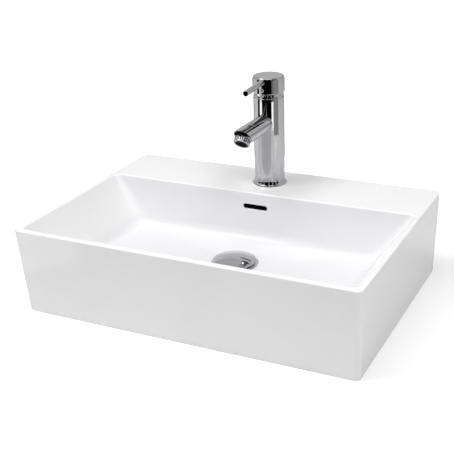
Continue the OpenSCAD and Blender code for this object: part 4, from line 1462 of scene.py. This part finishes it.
@dataclass
class Studio:
    """The white floor, the soft lamps, the cards that chrome mirrors, and the camera."""

    floor_half: float = 7000.0
    floor_z: float = -0.05
    aim: tuple[float, float, float] = (0.0, 0.0, 0.060)
    azimuth: float = 26.94
    elevation: float = 22.48
    roll: float = 2.0
    distance: float = 1.38776
    slide_right: float = -0.010475
    slide_up: float = 0.038940
    lens_mm: float = 74.92
    sensor_mm: float = 36.0
    clip: Pair = (0.01, 100.0)
    tap_y: float = 130.0
    sky_level: float = 0.14
    sky_in_mirrors: float = 0.60
    paper_tone: str = "#F4F4F4"
    paper_glow: Pair = (0.2, 1.0)
    paper_reach: Pair = (0.45, 1.8)
    lamps: tuple[Lamp, ...] = (
        Lamp("lamp_left", (-0.95, -0.75, 1.9), (0, 0, 0.1), 0.9, 25.5),
        Lamp("lamp_right", (1.05, -0.45, 1.9), (0, 0, 0.1), 0.9, 19.5),
        Lamp("lamp_over", (0.0, 0.0, 2.2), (0, 0, 0.1), 1.2, 12.0),
        Lamp("lamp_front", (-0.2, -2.0, 1.3), (0, 0, 0.1), 1.0, 1.5),
        Lamp("lamp_under", (0.0, 0.0, -1.2), (0, 0, 0), 0.3, 4.5),
    )
    cards: tuple[Card, ...] = (
        # The floor as the tap's upright sides mirror it: dark and grey with two white gaps
        mat("mat_front", BLACK, -56, 18, 700),
        mat("mat_left", BLACK, -93, -74, 700),
        mat("mat_right", "#9E9E9E", 31, 72, 700),
        mat("mat_outer", "#7E7E7E", 18, 31, 990),
        mat("gap_left", WHITE, -73, -57, 500, 990, 1.7),
        mat("gap_right", WHITE, 19, 30, 500, 990, 1.7),
        mat("mat_behind", "#202020", 150, 210, 520, 1220),
        # The floor before the basin, which shades the lower edge of its front
        Fade("mat_near", "#E0E0E0", 1.0,
             ((262, -186), (-470, -186), (-470, -560), (262, -560)), "#0C0C0C", (-200, -440)),
        # Dark panels for what faces up: the foot's flare, the spout's ridge, the lever
        panel("panel_a", -44, -13, 1, 3400),
        panel("panel_b", -9, 14, 1, 3400),
        panel("panel_c", 19, 38, 1, 3400),
        panel("panel_d", -104, -50, 1260, 3400),
        panel("panel_e", 42, 66, 1260, 3400),
        panel("panel_f", 130, 139, 820, 1280),
        panel("panel_g", -70, -48, 1, 690),
        panel("panel_h", -98, -76, 1, 690),
        panel("panel_i", 43, 60, 1, 690),
        # White cards for the light lines on the spout, the collar's ribs and the cap's edge
        panel("card_left", -106, -78, 700, 1259, WHITE, 1.6),
        Band("softbox_top", WHITE, 1.9, -110, 40, (1400, 2150), (500, 2500)),
        Band("softbox", WHITE, 5.0, -96, -56, (1300, 1500), (1300, 2250)),
    )

    def camera(self) -> None:
        """Places the camera as the photograph's was."""
        a, e = math.radians(self.azimuth), math.radians(self.elevation)
        back = Vector((math.sin(a) * math.cos(e), -math.cos(a) * math.cos(e), math.sin(e)))
        right = Vector((math.cos(a), math.sin(a), 0))
        up = back.cross(right)
        place = (Vector(self.aim) + right * self.slide_right + up * self.slide_up
                 + back * self.distance)
        c, s = math.cos(math.radians(self.roll)), math.sin(math.radians(self.roll))
        across, over = right * c - up * s, right * s + up * c
        data = bpy.data.cameras.new("camera")
        data.lens, data.sensor_width = self.lens_mm, self.sensor_mm
        data.clip_start, data.clip_end = self.clip
        made = bpy.data.objects.new("camera", data)
        made.matrix_world = Matrix((
            (across.x, over.x, back.x, place.x), (across.y, over.y, back.y, place.y),
            (across.z, over.z, back.z, place.z), (0, 0, 0, 1)))
        bpy.context.scene.collection.objects.link(made)
        bpy.context.scene.camera = made

    def floor(self) -> None:
        """Lays the white floor."""
        half = self.floor_half
        corners = ((-half, -half), (half, -half), (half, half), (-half, half))
        made = mesh_of(Shell([Vector((x, y, self.floor_z)) for x, y in corners],
                             [(0, 1, 2, 3)], [0]), "floor", [])
        made.data.materials.append(self.paper())

    def paper(self) -> bpy.types.Material:
        """Makes the floor's white paper.

        It keeps a faint shadow near the object and is plain white further away. It can be
        looked through from below, and the lamp under it lights the object's underside alone.

        Returns:
            The material.
        """
        made = blank_material("studio_paper")
        tree = made.node_tree
        path = add_node(tree, "ShaderNodeLightPath").outputs
        away = add_node(tree, "ShaderNodeVectorMath", {0: place_in(tree)}, operation="LENGTH")
        level = ranged(tree, away.outputs["Value"], self.paper_reach, self.paper_glow)
        matt = add_node(tree, "ShaderNodeBsdfDiffuse", {"Color": linear(self.paper_tone)})
        glow = add_node(tree, "ShaderNodeEmission", {
            "Color": linear(WHITE),
            "Strength": combined(tree, "MULTIPLY", path["Is Camera Ray"], level)})
        both = add_node(tree, "ShaderNodeAddShader", {0: matt.outputs[0], 1: glow.outputs[0]})
        under = add_node(tree, "ShaderNodeNewGeometry").outputs["Backfacing"]
        clear = add_node(tree, "ShaderNodeBsdfTransparent")
        side = add_node(tree, "ShaderNodeMixShader", {
            0: combined(tree, "MAXIMUM", under, path["Is Shadow Ray"]),
            1: both.outputs[0], 2: clear.outputs[0]})
        add_node(tree, "ShaderNodeOutputMaterial", {"Surface": side.outputs[0]})
        return made

    def world(self) -> None:
        """Sets a white backdrop for the camera, a greyer one for mirrors, and a faint sky.

        The sky lights from above the horizon alone, so that none of it comes up through
        the paper.
        """
        made = bpy.data.worlds.new("studio")
        made.use_nodes = True
        tree = made.node_tree
        tree.nodes.clear()
        path = add_node(tree, "ShaderNodeLightPath").outputs
        way = add_node(tree, "ShaderNodeTexCoord").outputs["Generated"]
        light = ranged(tree, axis_of(tree, way, "Z"), (-0.01, 0.0), (0.0, self.sky_level))
        seen = ranged(tree, path["Is Glossy Ray"], end=(light, self.sky_in_mirrors))
        plain = combined(tree, "MAXIMUM", path["Is Camera Ray"], path["Is Transmission Ray"])
        sky = add_node(tree, "ShaderNodeBackground", {
            "Color": linear(WHITE), "Strength": combined(tree, "MAXIMUM", plain, seen)})
        add_node(tree, "ShaderNodeOutputWorld", {"Surface": sky.outputs[0]})
        bpy.context.scene.world = made

    def build(self) -> None:
        """Sets up the studio."""
        self.camera()
        self.floor()
        self.world()
        for lamp in self.lamps:
            lamp.hang()
        for card in self.cards:
            card.stand(self)
        bpy.context.scene.view_settings.view_transform = "Standard"


def main() -> None:
    """Builds the washbasin and its studio in order."""
    logging.basicConfig(level=logging.INFO, format="%(name)s %(message)s")
    Studio().build()
    for part in (Basin(), Waste(), Tap(), Cartridge(), Handle(), Fixing()):
        LOG.info("building %s", type(part).__name__)
        part.build()


if __name__ == "__main__":
    main()
